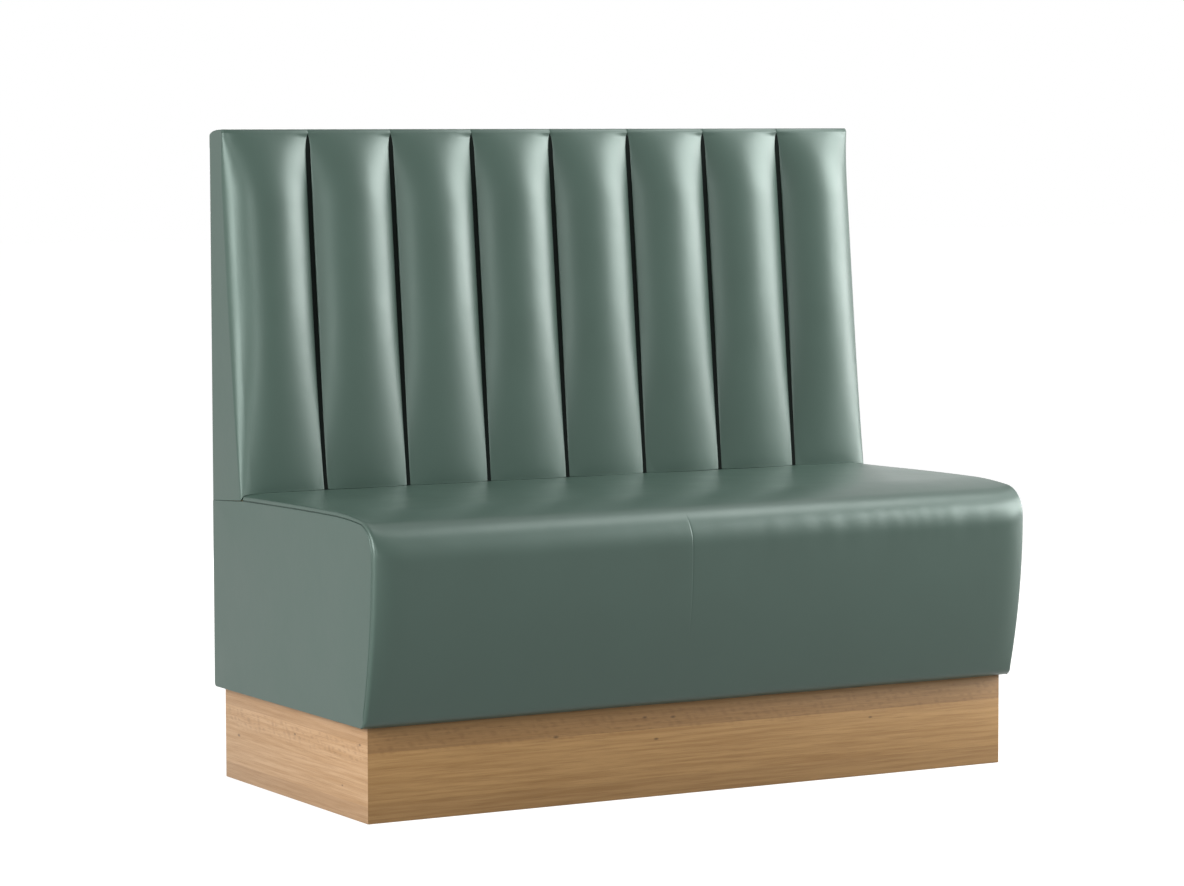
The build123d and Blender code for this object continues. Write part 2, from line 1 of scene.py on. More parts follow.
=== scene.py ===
# %% [markdown]
# # A booth bench with a channelled back
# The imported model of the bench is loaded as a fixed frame. It holds the plinth, the plywood boxes, the foam
# and the fasteners at their real size. This lesson dresses it: each upholstered piece gets a soft, closed
# mesh of its own, the oak gets eased edges, and every surface gets a material made of nodes. Nothing in the
# frame is moved, because the frame is what the bench's collision and weight come from.

# %% Load the frame
import json
import math
from functools import partial
import bmesh
import bpy
import numpy as np
from mathutils import Matrix, Vector, noise


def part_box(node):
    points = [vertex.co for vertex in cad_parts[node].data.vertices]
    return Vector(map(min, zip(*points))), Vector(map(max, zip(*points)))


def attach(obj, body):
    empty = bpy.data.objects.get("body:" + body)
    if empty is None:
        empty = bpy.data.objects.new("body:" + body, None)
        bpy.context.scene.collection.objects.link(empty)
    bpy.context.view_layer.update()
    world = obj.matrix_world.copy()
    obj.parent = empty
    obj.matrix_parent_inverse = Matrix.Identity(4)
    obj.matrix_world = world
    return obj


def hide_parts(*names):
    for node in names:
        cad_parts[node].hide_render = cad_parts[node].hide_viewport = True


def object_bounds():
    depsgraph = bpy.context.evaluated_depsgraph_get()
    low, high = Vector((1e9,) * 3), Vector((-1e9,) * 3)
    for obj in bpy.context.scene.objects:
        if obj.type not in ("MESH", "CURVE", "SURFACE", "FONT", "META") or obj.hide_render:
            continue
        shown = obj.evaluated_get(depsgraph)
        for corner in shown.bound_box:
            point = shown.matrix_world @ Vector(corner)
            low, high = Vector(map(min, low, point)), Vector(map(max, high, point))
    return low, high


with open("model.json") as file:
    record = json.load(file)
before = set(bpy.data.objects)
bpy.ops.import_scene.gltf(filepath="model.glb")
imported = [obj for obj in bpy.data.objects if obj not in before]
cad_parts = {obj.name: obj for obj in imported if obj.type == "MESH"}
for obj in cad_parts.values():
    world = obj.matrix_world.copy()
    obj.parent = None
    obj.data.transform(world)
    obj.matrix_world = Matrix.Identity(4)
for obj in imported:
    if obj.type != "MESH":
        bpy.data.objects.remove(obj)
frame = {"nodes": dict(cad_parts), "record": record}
cad_low, cad_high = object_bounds()
print("frame", [round(v, 4) for v in cad_low], [round(v, 4) for v in cad_high])

# %% [markdown]
# ## Sizes that come from the frame
# A piece that is dressed has to stay where its solid is, so the main places are read from the boxes of the
# nodes instead of typed again. Only what a box can't say, such as the lean of the back, is a value here.

# %% Read the main places
mm = 0.001
side = cad_high.x
wall = cad_high.y
bench_top = cad_high.z
cover_low, cover_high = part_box("seat_left_top_cover")
seat_front = cover_low.y
seat_rear = cover_high.y
seat_top = cover_high.z
hem_bottom = cover_low.z
plinth_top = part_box("plinth_front_board")[1].z
channel_count = sum(name.startswith("channel_cover_") for name in frame["nodes"])
groove_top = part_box("channel_cover_4")[1]
channel_pitch = 2 * side / channel_count
half_channel = channel_pitch / 2
channel_top = groove_top.z
rake = math.radians(5.9)
print("seat top", round(seat_top, 4), "channels", channel_count, "pitch", round(channel_pitch, 4))


def groove_y(z):
    """Y of the sloping plane that the grooves of the back lie in."""
    return groove_top.y - (channel_top - z) * math.tan(rake)

# %% [markdown]
# ## Small helpers
# A mesh here is always a tube: rings of equally many points that are joined by quads and closed at both ends.
# One function makes the tube, and another turns points and faces into an object and marks the edges that are
# sharp, so that the rest can be shaded smooth. Three more say how a shape fades along a distance.

# %% Mesh helpers
sharp_angle = math.radians(38)
merge_distance = 0.02 * mm


def new_object(name, data):
    """An object with this data, linked to the scene."""
    thing = bpy.data.objects.new(name, data)
    bpy.context.scene.collection.objects.link(thing)
    return thing


def make_piece(name, points, faces, material):
    """A mesh object at the origin, smooth except where two faces meet at a sharp angle."""
    mesh = bpy.data.meshes.new(name)
    mesh.from_pydata([tuple(p) for p in points], [], faces)
    mesh.validate()
    work = bmesh.new()
    work.from_mesh(mesh)
    bmesh.ops.remove_doubles(work, verts=work.verts, dist=merge_distance)
    bmesh.ops.recalc_face_normals(work, faces=work.faces)
    for face in work.faces:
        face.smooth = True
    for edge in work.edges:
        edge.smooth = len(edge.link_faces) == 2 and edge.calc_face_angle(0) < sharp_angle
    work.to_mesh(mesh)
    work.free()
    piece = new_object(name, mesh)
    mesh.materials.append(material)
    print(name, "faces", len(mesh.polygons))
    return piece


def close_tube(rings):
    """Points and faces of a closed solid through rings of equally many points."""
    count = len(rings[0])
    points = [p for ring in rings for p in ring]
    faces = []
    for row in range(len(rings) - 1):
        low, high = row * count, (row + 1) * count
        for k in range(count):
            after = (k + 1) % count
            faces.append((low + k, low + after, high + after, high + k))
    faces.append(tuple(range(count))[::-1])
    faces.append(tuple(range(len(points) - count, len(points))))
    return points, faces


def pairs(first, second):
    """Points from two lines of numbers, or from a number and a line."""
    return np.stack(np.broadcast_arrays(first, second), axis=1)


def normals_of(curve):
    """Unit normals of a line of (a, b) points, to the left of its direction."""
    tangent = np.gradient(curve, axis=0)
    tangent /= np.linalg.norm(tangent, axis=1)[:, None] + 1e-12
    return pairs(-tangent[:, 1], tangent[:, 0])


def roll(distance, radius):
    """How far a sewn edge has turned in at a distance from its seam."""
    near = np.clip(radius - distance, 0, radius)
    return radius - np.sqrt(radius**2 - near**2)


def covered(distance, span):
    """How much of a span a distance covers, from 0 to 1."""
    return np.clip(distance / span, 0, 1)


def settled(distance, span, power=2):
    """The same share, but fast at the start of the span and level at its end."""
    return 1 - (1 - covered(distance, span)) ** power


print("half-way through a span,", settled(0.5, 1), "of a shape has settled")

# %% [markdown]
# ## Colours and nodes
# Colours are written as they look on a screen, in sRGB hex, and one function turns them to the linear values
# that Blender mixes in. One more function adds a node with its settings and links. An input takes a value, a
# socket, or a whole node, whose first output in use is then linked, so that a material reads as a short list.

# %% Colour and node helpers


def colour(code):
    """Linear RGBA of an sRGB hex colour."""
    parts = [int(code[i : i + 2], 16) / 255 for i in (1, 3, 5)]
    return tuple(c / 12.92 if c <= 0.04045 else ((c + 0.055) / 1.055) ** 2.4 for c in parts) + (1.0,)


def feed(node, inputs):
    """Set each input of a node to a value, or link it from a socket or a node."""
    for key, value in dict(inputs).items():
        if isinstance(value, bpy.types.Node):
            value = next(output for output in value.outputs if output.enabled)
        if isinstance(value, bpy.types.NodeSocket):
            node.id_data.links.new(value, node.inputs[key])
        else:
            node.inputs[key].default_value = value


def add_node(tree, kind, inputs=(), **settings):
    """A node with its settings and inputs. A shader node's kind is written without ShaderNode."""
    node = tree.nodes.new(kind if "Node" in kind else f"ShaderNode{kind}")
    for key, value in settings.items():
        setattr(node, key, value)
    feed(node, inputs)
    return node


def new_material(name):
    """An empty material, the function that adds nodes to it, its shader and its object coordinates."""
    material = bpy.data.materials.new(name)
    material.use_nodes = True
    material.node_tree.nodes.clear()
    add = partial(add_node, material.node_tree)
    shader = add("BsdfPrincipled")
    add("OutputMaterial", {"Surface": shader})
    return material, add, shader, add("TexCoord").outputs["Object"]


def per_cell(size):
    """Scale of a Mapping node after which a pattern's cell has this size along X, Y and Z."""
    return tuple(1 / v for v in size)


print("mid grey in linear light", round(colour("#808080")[0], 3))

# %% [markdown]
# ## Upholstery leather
# The cover is a corrected-grain leather with a thin pigmented topcoat: smooth, even in colour and satin. To
# the eye that is a broad, soft highlight that slides over every curve, with a grain that only breaks it up a
# little. The grain is a cell pattern as fine as the pebbles of such a hide. A second, larger noise lets the
# gloss and the colour drift, and a third gives the faint waves of leather pulled over foam by hand.

# %% Leather
leather_colour = "#3B4E46"
leather_deep_colour = "#374941"
topcoat_tint = "#ECFFF8"
grain_pebble = 1.4 * mm
grain_depth = 0.12 * mm
pull_wave = 38 * mm
pull_depth = 0.5 * mm
drift_patch = 120 * mm


def make_leather():
    material, add, shader, place = new_material("satin_topcoat_leather")
    drift = add("TexNoise", {"Vector": place, "Scale": 1 / drift_patch, "Detail": 3.0})
    ends = {6: colour(leather_deep_colour), 7: colour(leather_colour)}
    tone = add("Mix", {0: drift, **ends}, data_type="RGBA")
    gloss_range = {"From Min": 0.3, "From Max": 0.7, "To Min": 0.36, "To Max": 0.42}
    gloss = add("MapRange", {"Value": drift, **gloss_range})
    pebble_inputs = {"Vector": place, "Scale": 1 / grain_pebble, "Smoothness": 0.6}
    pebbles = add("TexVoronoi", pebble_inputs, feature="SMOOTH_F1")
    waves = add("TexNoise", {"Vector": place, "Scale": 1 / pull_wave, "Detail": 2.0})
    wavy = add("Bump", {"Height": waves, "Strength": 0.5, "Distance": pull_depth})
    grain_inputs = {"Height": pebbles, "Strength": 0.35, "Distance": grain_depth, "Normal": wavy}
    feed(
        shader,
        {
            "Base Color": tone,
            "Roughness": gloss,
            "Normal": add("Bump", grain_inputs),
            "IOR": 1.5,
            "Specular IOR Level": 0.6,
            "Specular Tint": colour(topcoat_tint),
        },
    )
    return material


leather = make_leather()
print("leather nodes", len(leather.node_tree.nodes))

# %% [markdown]
# ## The channels of the back
# Each channel is a strip of foam under its own strip of leather, with a narrow dark gap to the next one. Over
# foam, leather can't be anything but round, so most of the section is one shallow arch. Only near the gaps it
# turns down steeply, which a high power does: it stays flat and then drops. The fullness changes with the
# height. It grows slowly out of the seat, is greatest above the middle, and falls off fast at the top edge,
# where the leather is pulled over the frame.

# %% The swell of a channel
bulge = 26 * mm
shoulder_drop = 1.8 * mm
shoulder_power = 44
gap_half_width = 4.0 * mm
gap_opening = 34 * mm
gap_foot_share = 0.6
side_tuck = 18 * mm
side_power = 4.5
side_foot_share = 0.8
top_floor = 0.3
top_reach = 110 * mm
top_power = 1.8
foot_floor = 0.30
foot_reach = 300 * mm
foot_power = 1.7
lip_rise = 7 * mm
lip_depth = 2.2 * mm
lip_run = 6 * mm
seam_gap = 0.1 * mm
pull = np.array([0, -3.0, -0.8, 0.4, -0.5, 0.3, -0.2, 0.8, 0]) * mm


def head_share(z):
    """Share of the bulge that the pull over the top edge leaves."""
    return top_floor + (1 - top_floor) * settled(channel_top - z, top_reach, top_power)


def foot_share(z):
    """Share of the bulge that the seat leaves, where the channel stands on it."""
    return foot_floor + (1 - foot_floor) * settled(z - seat_top, foot_reach, foot_power)


def gap_half(z):
    """Half the width of a gap between channels. It narrows to the seat and closes at the top edge."""
    foot = gap_foot_share + (1 - gap_foot_share) * settled(z - seat_top, foot_reach)
    return seam_gap + gap_half_width * foot * settled(channel_top - z, gap_opening)


def gap_shift(number, z):
    """How far a gap strays from its straight line, because each strip is pulled on by hand."""
    height = covered(z - seat_top, channel_top - seat_top)
    return pull[number] * np.sin(math.pi * height) ** 0.5


def section(u, z, end_side=False):
    """How far a channel stands in front of the board, at u from -1 to 1 across it."""
    fullness = head_share(z) * foot_share(z)
    near_top = covered(lip_rise - (channel_top - z), lip_rise)
    lip = lip_depth * near_top**2 * (3 - 2 * near_top)
    outside = end_side & (np.asarray(u) > 0)
    tuck_share = head_share(z) * (1 - side_foot_share + side_foot_share * foot_share(z))
    tuck = np.where(outside, side_tuck * tuck_share, 0)
    drop = shoulder_drop * fullness
    arch = (bulge * fullness - drop - lip) * (1 - np.abs(u) ** 2)
    turn = np.sqrt(1 - np.abs(u) ** np.where(outside, side_power, shoulder_power))
    return lip * np.where(outside, turn, 1) - tuck + arch + (drop + tuck) * turn


for z in (seat_top, (seat_top + channel_top) / 2, channel_top):
    print("a channel stands", round(float(section(0, z)) / mm, 1), "mm proud at height", round(z, 3))

# %% [markdown]
# ## Where the seat and the back meet
# The seat is crowned: near its sides the leather is drawn down to the side seam. The lower edge of the end
# channels follows that crown, so the height of the seat's surface has to be a function that both pieces ask.

# %% The crown of the seat
crown_rise = 5 * mm
crown_front_share = 0.2
crown_reach = 11 * mm
crown_heel = 3 * mm
crown_span = 60 * mm
joint_front = seat_top - 12 * mm
joint_rear = seat_top - 19 * mm
soft_gap = 0.1 * mm


def end_share(x):
    """1 at the side seams, where the padding is drawn in, and 0 on the full crown."""
    return 1 - settled(side - np.abs(x), crown_span, 3)


def foot_height(x):
    """Height at which a channel stands on the crowned seat."""
    return seat_top - crown_rise * end_share(x) + soft_gap


print("the seat at its side seam lies", round((seat_top - foot_height(side)) / mm, 1), "mm under its crown")

# %% [markdown]
# ## Inner channels
# An inner channel is a closed solid: the rounded leather in front and a flat base on the board. Its rows of
# points stand closer together at the seat and at the top edge, where the leather turns in.

# %% Inner channels
across_u = np.sin(np.linspace(-math.pi / 2, math.pi / 2, 61))
edge_steps = np.array([0, 0.15, 0.5, 1.0, 1.8, 3.0])
body_shares = np.linspace(0.025, 0.86, 64)
head_shares = np.linspace(0.868, 0.985, 26)
edge_roll = 2.5 * mm
panel_thickness = 6 * mm
hem_thickness = panel_thickness / 3
rear_round = 3 * mm
hem_width = 30 * mm
rear_face = wall - 0.6 * mm
foot_roll = 0.4 * mm


def height_rows(length):
    """Shares of the way up, closer together at both ends."""
    ends = edge_steps * edge_roll / length
    return np.concatenate([ends, body_shares[body_shares > ends[-1]], head_shares, 1 - ends[::-1]])


rows = height_rows(channel_top - seat_top)
print("rows up a channel", len(rows))


def inner_channel(number):
    centre = (number + 0.5) * channel_pitch - side
    rings = []
    for v in rows:
        z_even = seat_top + (channel_top - seat_top) * v
        low = centre - half_channel + gap_half(z_even) + gap_shift(number, z_even)
        high = centre + half_channel - gap_half(z_even) + gap_shift(number + 1, z_even)
        x = (low + high) / 2 + across_u * (high - low) / 2
        z = foot_height(x) + (channel_top - foot_height(x)) * v
        depth = section(across_u, z) / math.cos(rake) - roll(z_even - seat_top, foot_roll)
        ring = list(zip(x, groove_y(z) - np.maximum(depth, 0), z))
        ring += [(x[k], groove_y(z[k]) + seam_gap, z[k]) for k in (-1, 0)]
        rings.append(ring)
    return close_tube(rings)

# %% [markdown]
# ## End channels
# At the two ends of the bench there is no seam at the corner. The same leather runs on into the flat side
# and is turned in over the rear edge. So the ring of points of an end channel goes round that corner too,
# in an L. The upper edge of the flat side drops in a round at the rear.

# %% Channel meshes
top_corner_run = 42 * mm
top_corner_drop = 11 * mm
joint_blend = 6 * mm
head_roll = 1.4 * mm


def top_outline(y, lip_y):
    """Height of the flat side's upper edge: rounded behind the lip in front and at the rear corner."""
    front = channel_top + (bench_top - channel_top) * settled(y - lip_y, lip_run)
    near = covered(top_corner_run - (rear_face - y), top_corner_run)
    return front - top_corner_drop * (1 - np.sqrt(1 - near**2))


def end_channel(sign):
    """The first or last channel, with the flat side and the hem behind it. sign is -1 on the left."""
    centre = sign * (side - half_channel)
    side_steps = np.linspace(0, 1, 30)[1:]
    turn_steps = np.linspace(0, math.pi / 2, 7)[1:]
    hem_steps = np.linspace(rear_round, hem_width, 5)[1:]
    length = channel_top - seat_top
    inner_gap = 1 if sign < 0 else channel_count - 1
    rings = []
    for v in rows:
        z_even = seat_top + length * v
        low = -half_channel + gap_half(z_even) + sign * gap_shift(inner_gap, z_even)
        out = (low + half_channel) / 2 + across_u * (half_channel - low) / 2
        pinch = covered(out - half_channel + joint_blend, joint_blend) ** 2
        foot = foot_height(side - half_channel + out)
        foot = foot + (joint_front + soft_gap - foot) * pinch
        z_front = foot + (channel_top - foot) * v
        depth = section(across_u, z_front, end_side=True) / math.cos(rake)
        front = pairs(out, groove_y(z_front) - depth)
        corner_y = front[-1][1]
        y_even = corner_y + (rear_face - rear_round - corner_y) * side_steps
        z_high = top_outline(y_even, groove_y(channel_top) + side_tuck * top_floor)
        z_low = joint_front + (joint_rear - joint_front) * side_steps + soft_gap
        z_side = z_low + (z_high - z_low) * v
        flat = pairs(half_channel, y_even)
        turn_x = half_channel - rear_round * (1 - np.cos(turn_steps))
        turn_y = rear_face - rear_round * (1 - np.sin(turn_steps))
        turn = pairs(turn_x, turn_y)
        hem = pairs(half_channel - hem_steps, rear_face)
        curve = np.concatenate([front, flat, turn, hem])
        rear_z = np.full(len(turn) + len(hem), z_side[-1])
        heights = np.concatenate([z_front, z_side, rear_z])
        proud = np.concatenate([np.zeros(len(front)), np.ones(len(flat) + len(rear_z))])
        inset = roll(v * length, foot_roll) + roll((1 - v) * length, head_roll) * proud
        curve = curve + normals_of(curve) * inset[:, None]
        inner_z = joint_front + (channel_top - joint_front) * v
        back = [
            (half_channel - hem_width, rear_face - hem_thickness),
            (half_channel - panel_thickness, rear_face - hem_thickness),
            (half_channel - panel_thickness, groove_y(inner_z) + side_tuck),
            (half_channel - 2 * panel_thickness, groove_y(inner_z)),
            (low, groove_y(inner_z) + seam_gap),
        ]
        curve = np.concatenate([curve, back])
        heights = np.concatenate([heights, np.full(len(back), inner_z)])
        rings.append([(centre + sign * x, y, h) for (x, y), h in zip(curve, heights)])
    return close_tube(rings)


channels = []
for number in range(channel_count):
    if number in (0, channel_count - 1):
        points, faces = end_channel(-1 if number == 0 else 1)
    else:
        points, faces = inner_channel(number)
    channels.append(make_piece(f"channel_{number + 1}", points, faces, leather))

# %% [markdown]
# ## Stuffing
# The formulas give each cover the line that it is cut and sewn to. What the stuffing then does to it is left
# to a cloth simulation. The leather becomes a cloth whose sewn and glued places are held, a pressure from
# inside stands for the squeezed foam, and after twenty frames the leather has come to rest. A cover may move
# by little more than a millimetre, because leather hardly stretches. The result is written to the mesh, so
# that no simulation is left on the piece.

# %% Swell the channels as cloth
channel_pressure = 40
seat_pressure = 4
stuffing_frames = 20
stuffing_limit = 1.2 * mm
leather_stiffness = 40
leather_bending = 2
leather_weight = 0.6
seam_hold = 3 * mm


def places_of(mesh):
    """Places of a mesh's points, as rows of x, y and z."""
    flat = np.empty(3 * len(mesh.vertices))
    mesh.vertices.foreach_get("co", flat)
    return flat.reshape(-1, 3)


def moves_under_pressure(pieces, held, pressure):
    """How far stuffing moves the points of some pieces. held says which of the points are sewn or glued."""
    for piece in pieces:
        group = piece.vertex_groups.new(name="held")
        group.add([int(k) for k in np.flatnonzero(held(places_of(piece.data)))], 1.0, "REPLACE")
        cloth = piece.modifiers.new("stuffing", "CLOTH")
        cloth.point_cache.frame_end = stuffing_frames
        leather_cloth = cloth.settings
        leather_cloth.vertex_group_mass = "held"
        leather_cloth.use_pressure = True
        leather_cloth.uniform_pressure_force = pressure
        leather_cloth.effector_weights.gravity = 0
        leather_cloth.mass = leather_weight
        leather_cloth.tension_stiffness = leather_stiffness
        leather_cloth.compression_stiffness = leather_stiffness
        leather_cloth.bending_stiffness = leather_bending
    for step in range(1, stuffing_frames + 1):
        bpy.context.scene.frame_set(step)
    graph = bpy.context.evaluated_depsgraph_get()
    moves = []
    for piece in pieces:
        move = places_of(piece.evaluated_get(graph).data) - places_of(piece.data)
        furthest = np.linalg.norm(move, axis=1).max()
        print(piece.name, "swells by", round(furthest / mm, 2), "mm")
        moves.append(move * min(1, stuffing_limit / max(furthest, 1e-9)))
    for piece in pieces:
        piece.modifiers.clear()
        piece.vertex_groups.clear()
    bpy.context.scene.frame_set(1)
    return moves


def held_on_channel(points):
    """The rows at the seat and at the top edge, the flat side, and what lies at or behind the grooves."""
    depth = groove_y(points[:, 2]) - points[:, 1]
    low = points[:, 2] < seat_top + seam_hold
    high = points[:, 2] > channel_top - seam_hold
    flat_side = np.abs(points[:, 0]) > side - seam_hold
    return (depth < seam_hold) | low | high | flat_side


channel_moves = moves_under_pressure(channels, held_on_channel, channel_pressure)
for channel, move in zip(channels, channel_moves):
    channel.data.vertices.foreach_set("co", (places_of(channel.data) + move).ravel())
    channel.data.update()

# %% [markdown]
# ## The painted shade behind the channels
# The gaps between the channels are deep and narrow, and little light reaches into them. Their black is
# painted
# shade: a near-black cloth behind the channels. It is a thin sheet that is stapled flat, so it is a tube of
# flat rings, one for each height. Its weave is two sets of waves that cross, and so is that of every other
# cloth on this bench.

# %% Painted shade behind the channels
lining_thickness = 0.6 * mm
lining_inset = 20 * mm
lining_tuck = 4 * mm
lining_thread = 1.2 * mm
wave_scale = 0.314  # a wave texture of scale 1 repeats every 0.314 m


def make_painted_shade_lining():
    places = np.linspace(-side + lining_inset, side - lining_inset, 81)
    rings = []
    for z in np.linspace(seat_top - lining_tuck, channel_top, 41):
        front = [(x, groove_y(z) - lining_thickness, z) for x in places]
        rings.append(front + [(x, groove_y(z), z) for x in places[::-1]])
    return close_tube(rings)


def make_cloth(name, code, thread, weft_along="Z"):
    """Plain woven cloth with threads of slightly uneven colour."""
    material, add, shader, place = new_material(name)
    fine = {"Vector": place, "Scale": wave_scale / thread}
    warp = add("TexWave", fine, bands_direction="X").outputs["Fac"]
    weft = add("TexWave", fine, bands_direction=weft_along).outputs["Fac"]
    weave = add("Math", {0: warp, 1: weft}, operation="MAXIMUM")
    uneven = add("TexNoise", {"Vector": place, "Scale": 0.2 / thread, "Detail": 3.0})
    dark = tuple(c * 0.6 for c in colour(code)[:3]) + (1.0,)
    tone = add("Mix", {0: uneven, 6: dark, 7: colour(code)}, data_type="RGBA")
    bump = add("Bump", {"Height": weave, "Strength": 0.5, "Distance": 0.25 * thread})
    finish = {"Base Color": tone, "Normal": bump, "Roughness": 0.95, "Specular IOR Level": 0.15}
    feed(shader, finish)
    return material


# The lining's near-black colour is painted shade, standing in for the dark deep in the gaps.
painted_shade_lining_cloth = make_cloth("woven_black_lining_painted_shade", "#060E0B", lining_thread)
painted_shade_lining = make_piece("back_lining_painted_shade", *make_painted_shade_lining(), painted_shade_lining_cloth)

# %% [markdown]
# ## The leather over the top
# A narrow strip closes the top edge. Its section leaves the channels at the slope that they end with, turns
# over to level, runs back and turns down over the rear corner. Its front edge follows the channels, so each
# place along the bench asks the channel there how far it stands out. Near both ends it rolls in to its seam.

# %% Top strip
strip_slack = 0.4 * mm
strip_end = side - strip_slack
strip_rear = rear_face + strip_slack
strip_thickness = 4 * mm
end_steps = np.array([0, 0.1, 0.3, 0.6, 1.0, 1.6, 2.5, 5.0, 12.0]) * mm


def strip_section(x):
    """Outer line of the strip from its lower front edge to its lower rear edge, as (y, z)."""
    number = min(int(abs(x) / channel_pitch), channel_count // 2 - 1)
    u = (abs(x) - (number + 0.5) * channel_pitch) / half_channel
    lip = section(min(u, 1), channel_top, end_side=number == channel_count // 2 - 1)
    front_y = groove_y(channel_top) - float(lip) / math.cos(rake)
    flat_end = max(rear_face - top_corner_run, front_y + 2 * lip_run)
    near = front_y + lip_run * np.linspace(0, 1, 12) ** 1.3
    y_line = np.concatenate([near, np.linspace(front_y + 1.3 * lip_run, flat_end, 8)])
    rise = settled(y_line - front_y, lip_run)
    upper = pairs(y_line, channel_top + (bench_top - channel_top) * rise)
    angles = np.linspace(0, math.pi / 2, 12)[1:]
    corner_y = flat_end + (strip_rear - flat_end) * np.sin(angles)
    corner_z = bench_top - top_corner_drop * (1 - np.cos(angles))
    corner = pairs(corner_y, corner_z)
    rear_z = np.linspace(bench_top - top_corner_drop, bench_top - hem_width, 4)[1:]
    rear = pairs(strip_rear, rear_z)
    return np.concatenate([upper, corner, rear])


def strip_stations():
    """Places along the bench: the channels' own points, and closer steps at both ends."""
    middles = (np.arange(channel_count // 2) + 0.5) * channel_pitch
    inner = np.concatenate([middle + across_u[::2] * half_channel for middle in middles])
    inner = np.concatenate([strip_end - end_steps, inner[inner < strip_end - end_steps[-1]]])
    return sorted(set(np.round(np.concatenate([-inner, inner]), 6)))


def make_top_strip():
    rings = []
    for x in strip_stations():
        outer = strip_section(x)
        inward = -normals_of(outer)
        skin = outer + inward * roll(strip_end - abs(x), head_roll)
        inner = outer + inward * strip_thickness
        rings.append([(x, y, z) for y, z in np.concatenate([skin, inner[::-1]])])
    return close_tube(rings)


top_strip = make_piece("top_strip", *make_top_strip(), leather)

# %% [markdown]
# ## The seat cushion
# The seat is one rounded nose: level on top, a bullnose in front, and a front that leans back to a small heel
# over the plinth. Its outline is a chain of arcs that each leave along the last one's direction. The cover is
# cut in two lengths with one plain seam, which shows as a thin crease on the front.

# %% The seat's outline
nose_radius = 62 * mm
nose_tightening = 12 * mm
nose_lean = math.radians(12)
nose_levelling = math.radians(6)
nose_run = 97 * mm
heel_in = 41 * mm
heel_rise = 11 * mm
toe_in = 54 * mm
hem_in = 58.8 * mm


def tangent_arc(start, direction, end, count):
    """Points after start on the arc that leaves it along direction, and the direction at the end."""
    start, end = np.array(start), np.array(end)
    chord = end - start
    heading = math.atan2(direction[1], direction[0])
    half_turn = math.remainder(math.atan2(chord[1], chord[0]) - heading, 2 * math.pi)
    radius = np.linalg.norm(chord) / (2 * math.sin(half_turn))
    points = []
    for share in np.linspace(0, 1, count + 1)[1:]:
        aim = heading + half_turn * share
        reach = 2 * radius * math.sin(half_turn * share)
        points.append(start + reach * np.array([math.cos(aim), math.sin(aim)]))
    last = heading + 2 * half_turn
    return points, (math.cos(last), math.sin(last))


def seat_outline(share):
    """The seat's line from the back over the nose to the hem, as (y, z). share is 1 at the side seams."""
    front = seat_front + crown_reach * share
    top = seat_top - crown_rise * crown_front_share * share
    radius = nose_radius - nose_tightening * share
    lean = nose_lean - nose_levelling * share
    shoulder_y = front + radius * (1 - math.sin(lean))
    shoulder_z = top - nose_run / math.sin(lean) * (1 - math.cos(lean))
    crest_y = shoulder_y + nose_run
    nose = (front, shoulder_z - radius * math.cos(lean))
    heel = (seat_front + heel_in + crown_heel * share, plinth_top + heel_rise)
    toe = (seat_front + toe_in + crown_heel * share, hem_bottom)
    rear_dip = crown_rise * share * (1 - crown_front_share)
    line = []
    for along in np.linspace(0, 1, 26):
        y = seat_rear + (crest_y - seat_rear) * along
        line.append(np.array([y, top - rear_dip * (1 - math.sin(math.pi / 2 * along))]))
    heading = (-1.0, 0.0)
    for end, count in (((shoulder_y, shoulder_z), 14), (nose, 26), (heel, 44), (toe, 10)):
        points, heading = tangent_arc(line[-1], heading, end, count)
        line += points
    line.append(np.array([seat_front + hem_in, hem_bottom]))
    return np.array(line)


print("points in the seat's outline", len(seat_outline(0)))

# %% [markdown]
# ## Its seams and folds
# The cover turns the corner at both sides and goes down into the seam there. Leather that is pulled down over
# a nose by hand is never quite even either: it has faint upright folds, which a smooth noise of under a
# millimetre gives.

# %% Seat cushion mesh
cover_corner = 5.0 * mm
seam_depth = 2.2 * mm
seam_mouth = 1.8 * mm
seam_lip = 0.5 * mm
hem_fade = 16 * mm
seam_x = -44 * mm
side_seam_steps = np.array([0, 0.1, 0.3, 0.7, 1.2, 1.9, 2.8, 4, 5.5, 8, 12, 18, 24, 31, 39, 48, 60]) * mm
cover_seam_steps = np.array([-9, -5, -3, -1.8, -1, -0.5, 0, 0.5, 1, 1.8, 3, 5, 9]) * mm
body_start = 67 * mm
seam_clear = 14 * mm
crease_depth, crease_width = 0.4 * mm, 0.7 * mm
dip_depth, dip_width = 0.12 * mm, 5 * mm
crease_low, crease_low_fade = plinth_top + 95 * mm, 90 * mm
crease_high, crease_high_fade = seat_top - 14 * mm, 32 * mm
fold_pitch = 26 * mm
fold_depth = 0.8 * mm
fold_drop = 58 * mm
fold_reach = 36 * mm
wave_depth = 0.5 * mm
frame_gap = 4 * mm


def seat_stations():
    """Places along the bench: close together at the side seams and at the one seam across the cover."""
    ends = np.concatenate([side_seam_steps - side, side - side_seam_steps])
    body = np.linspace(body_start - side, side - body_start, 160)
    body = body[np.abs(body - seam_x) > seam_clear]
    return sorted(np.concatenate([ends, seam_x + cover_seam_steps, body]))


def above_hem(line):
    """0 at the hem and 1 a little above it, for seams that run out there."""
    return covered(line[:, 1] - hem_bottom, hem_fade)


def crease(x, z):
    """Depth of the seam across the cover. It shows on the front and fades out above and below."""
    away = x - seam_x
    depth = crease_depth * math.exp(-((away / crease_width) ** 2))
    depth += dip_depth * math.exp(-((away / dip_width) ** 2))
    return depth * covered(z - crease_low, crease_low_fade) * covered(crease_high - z, crease_high_fade)


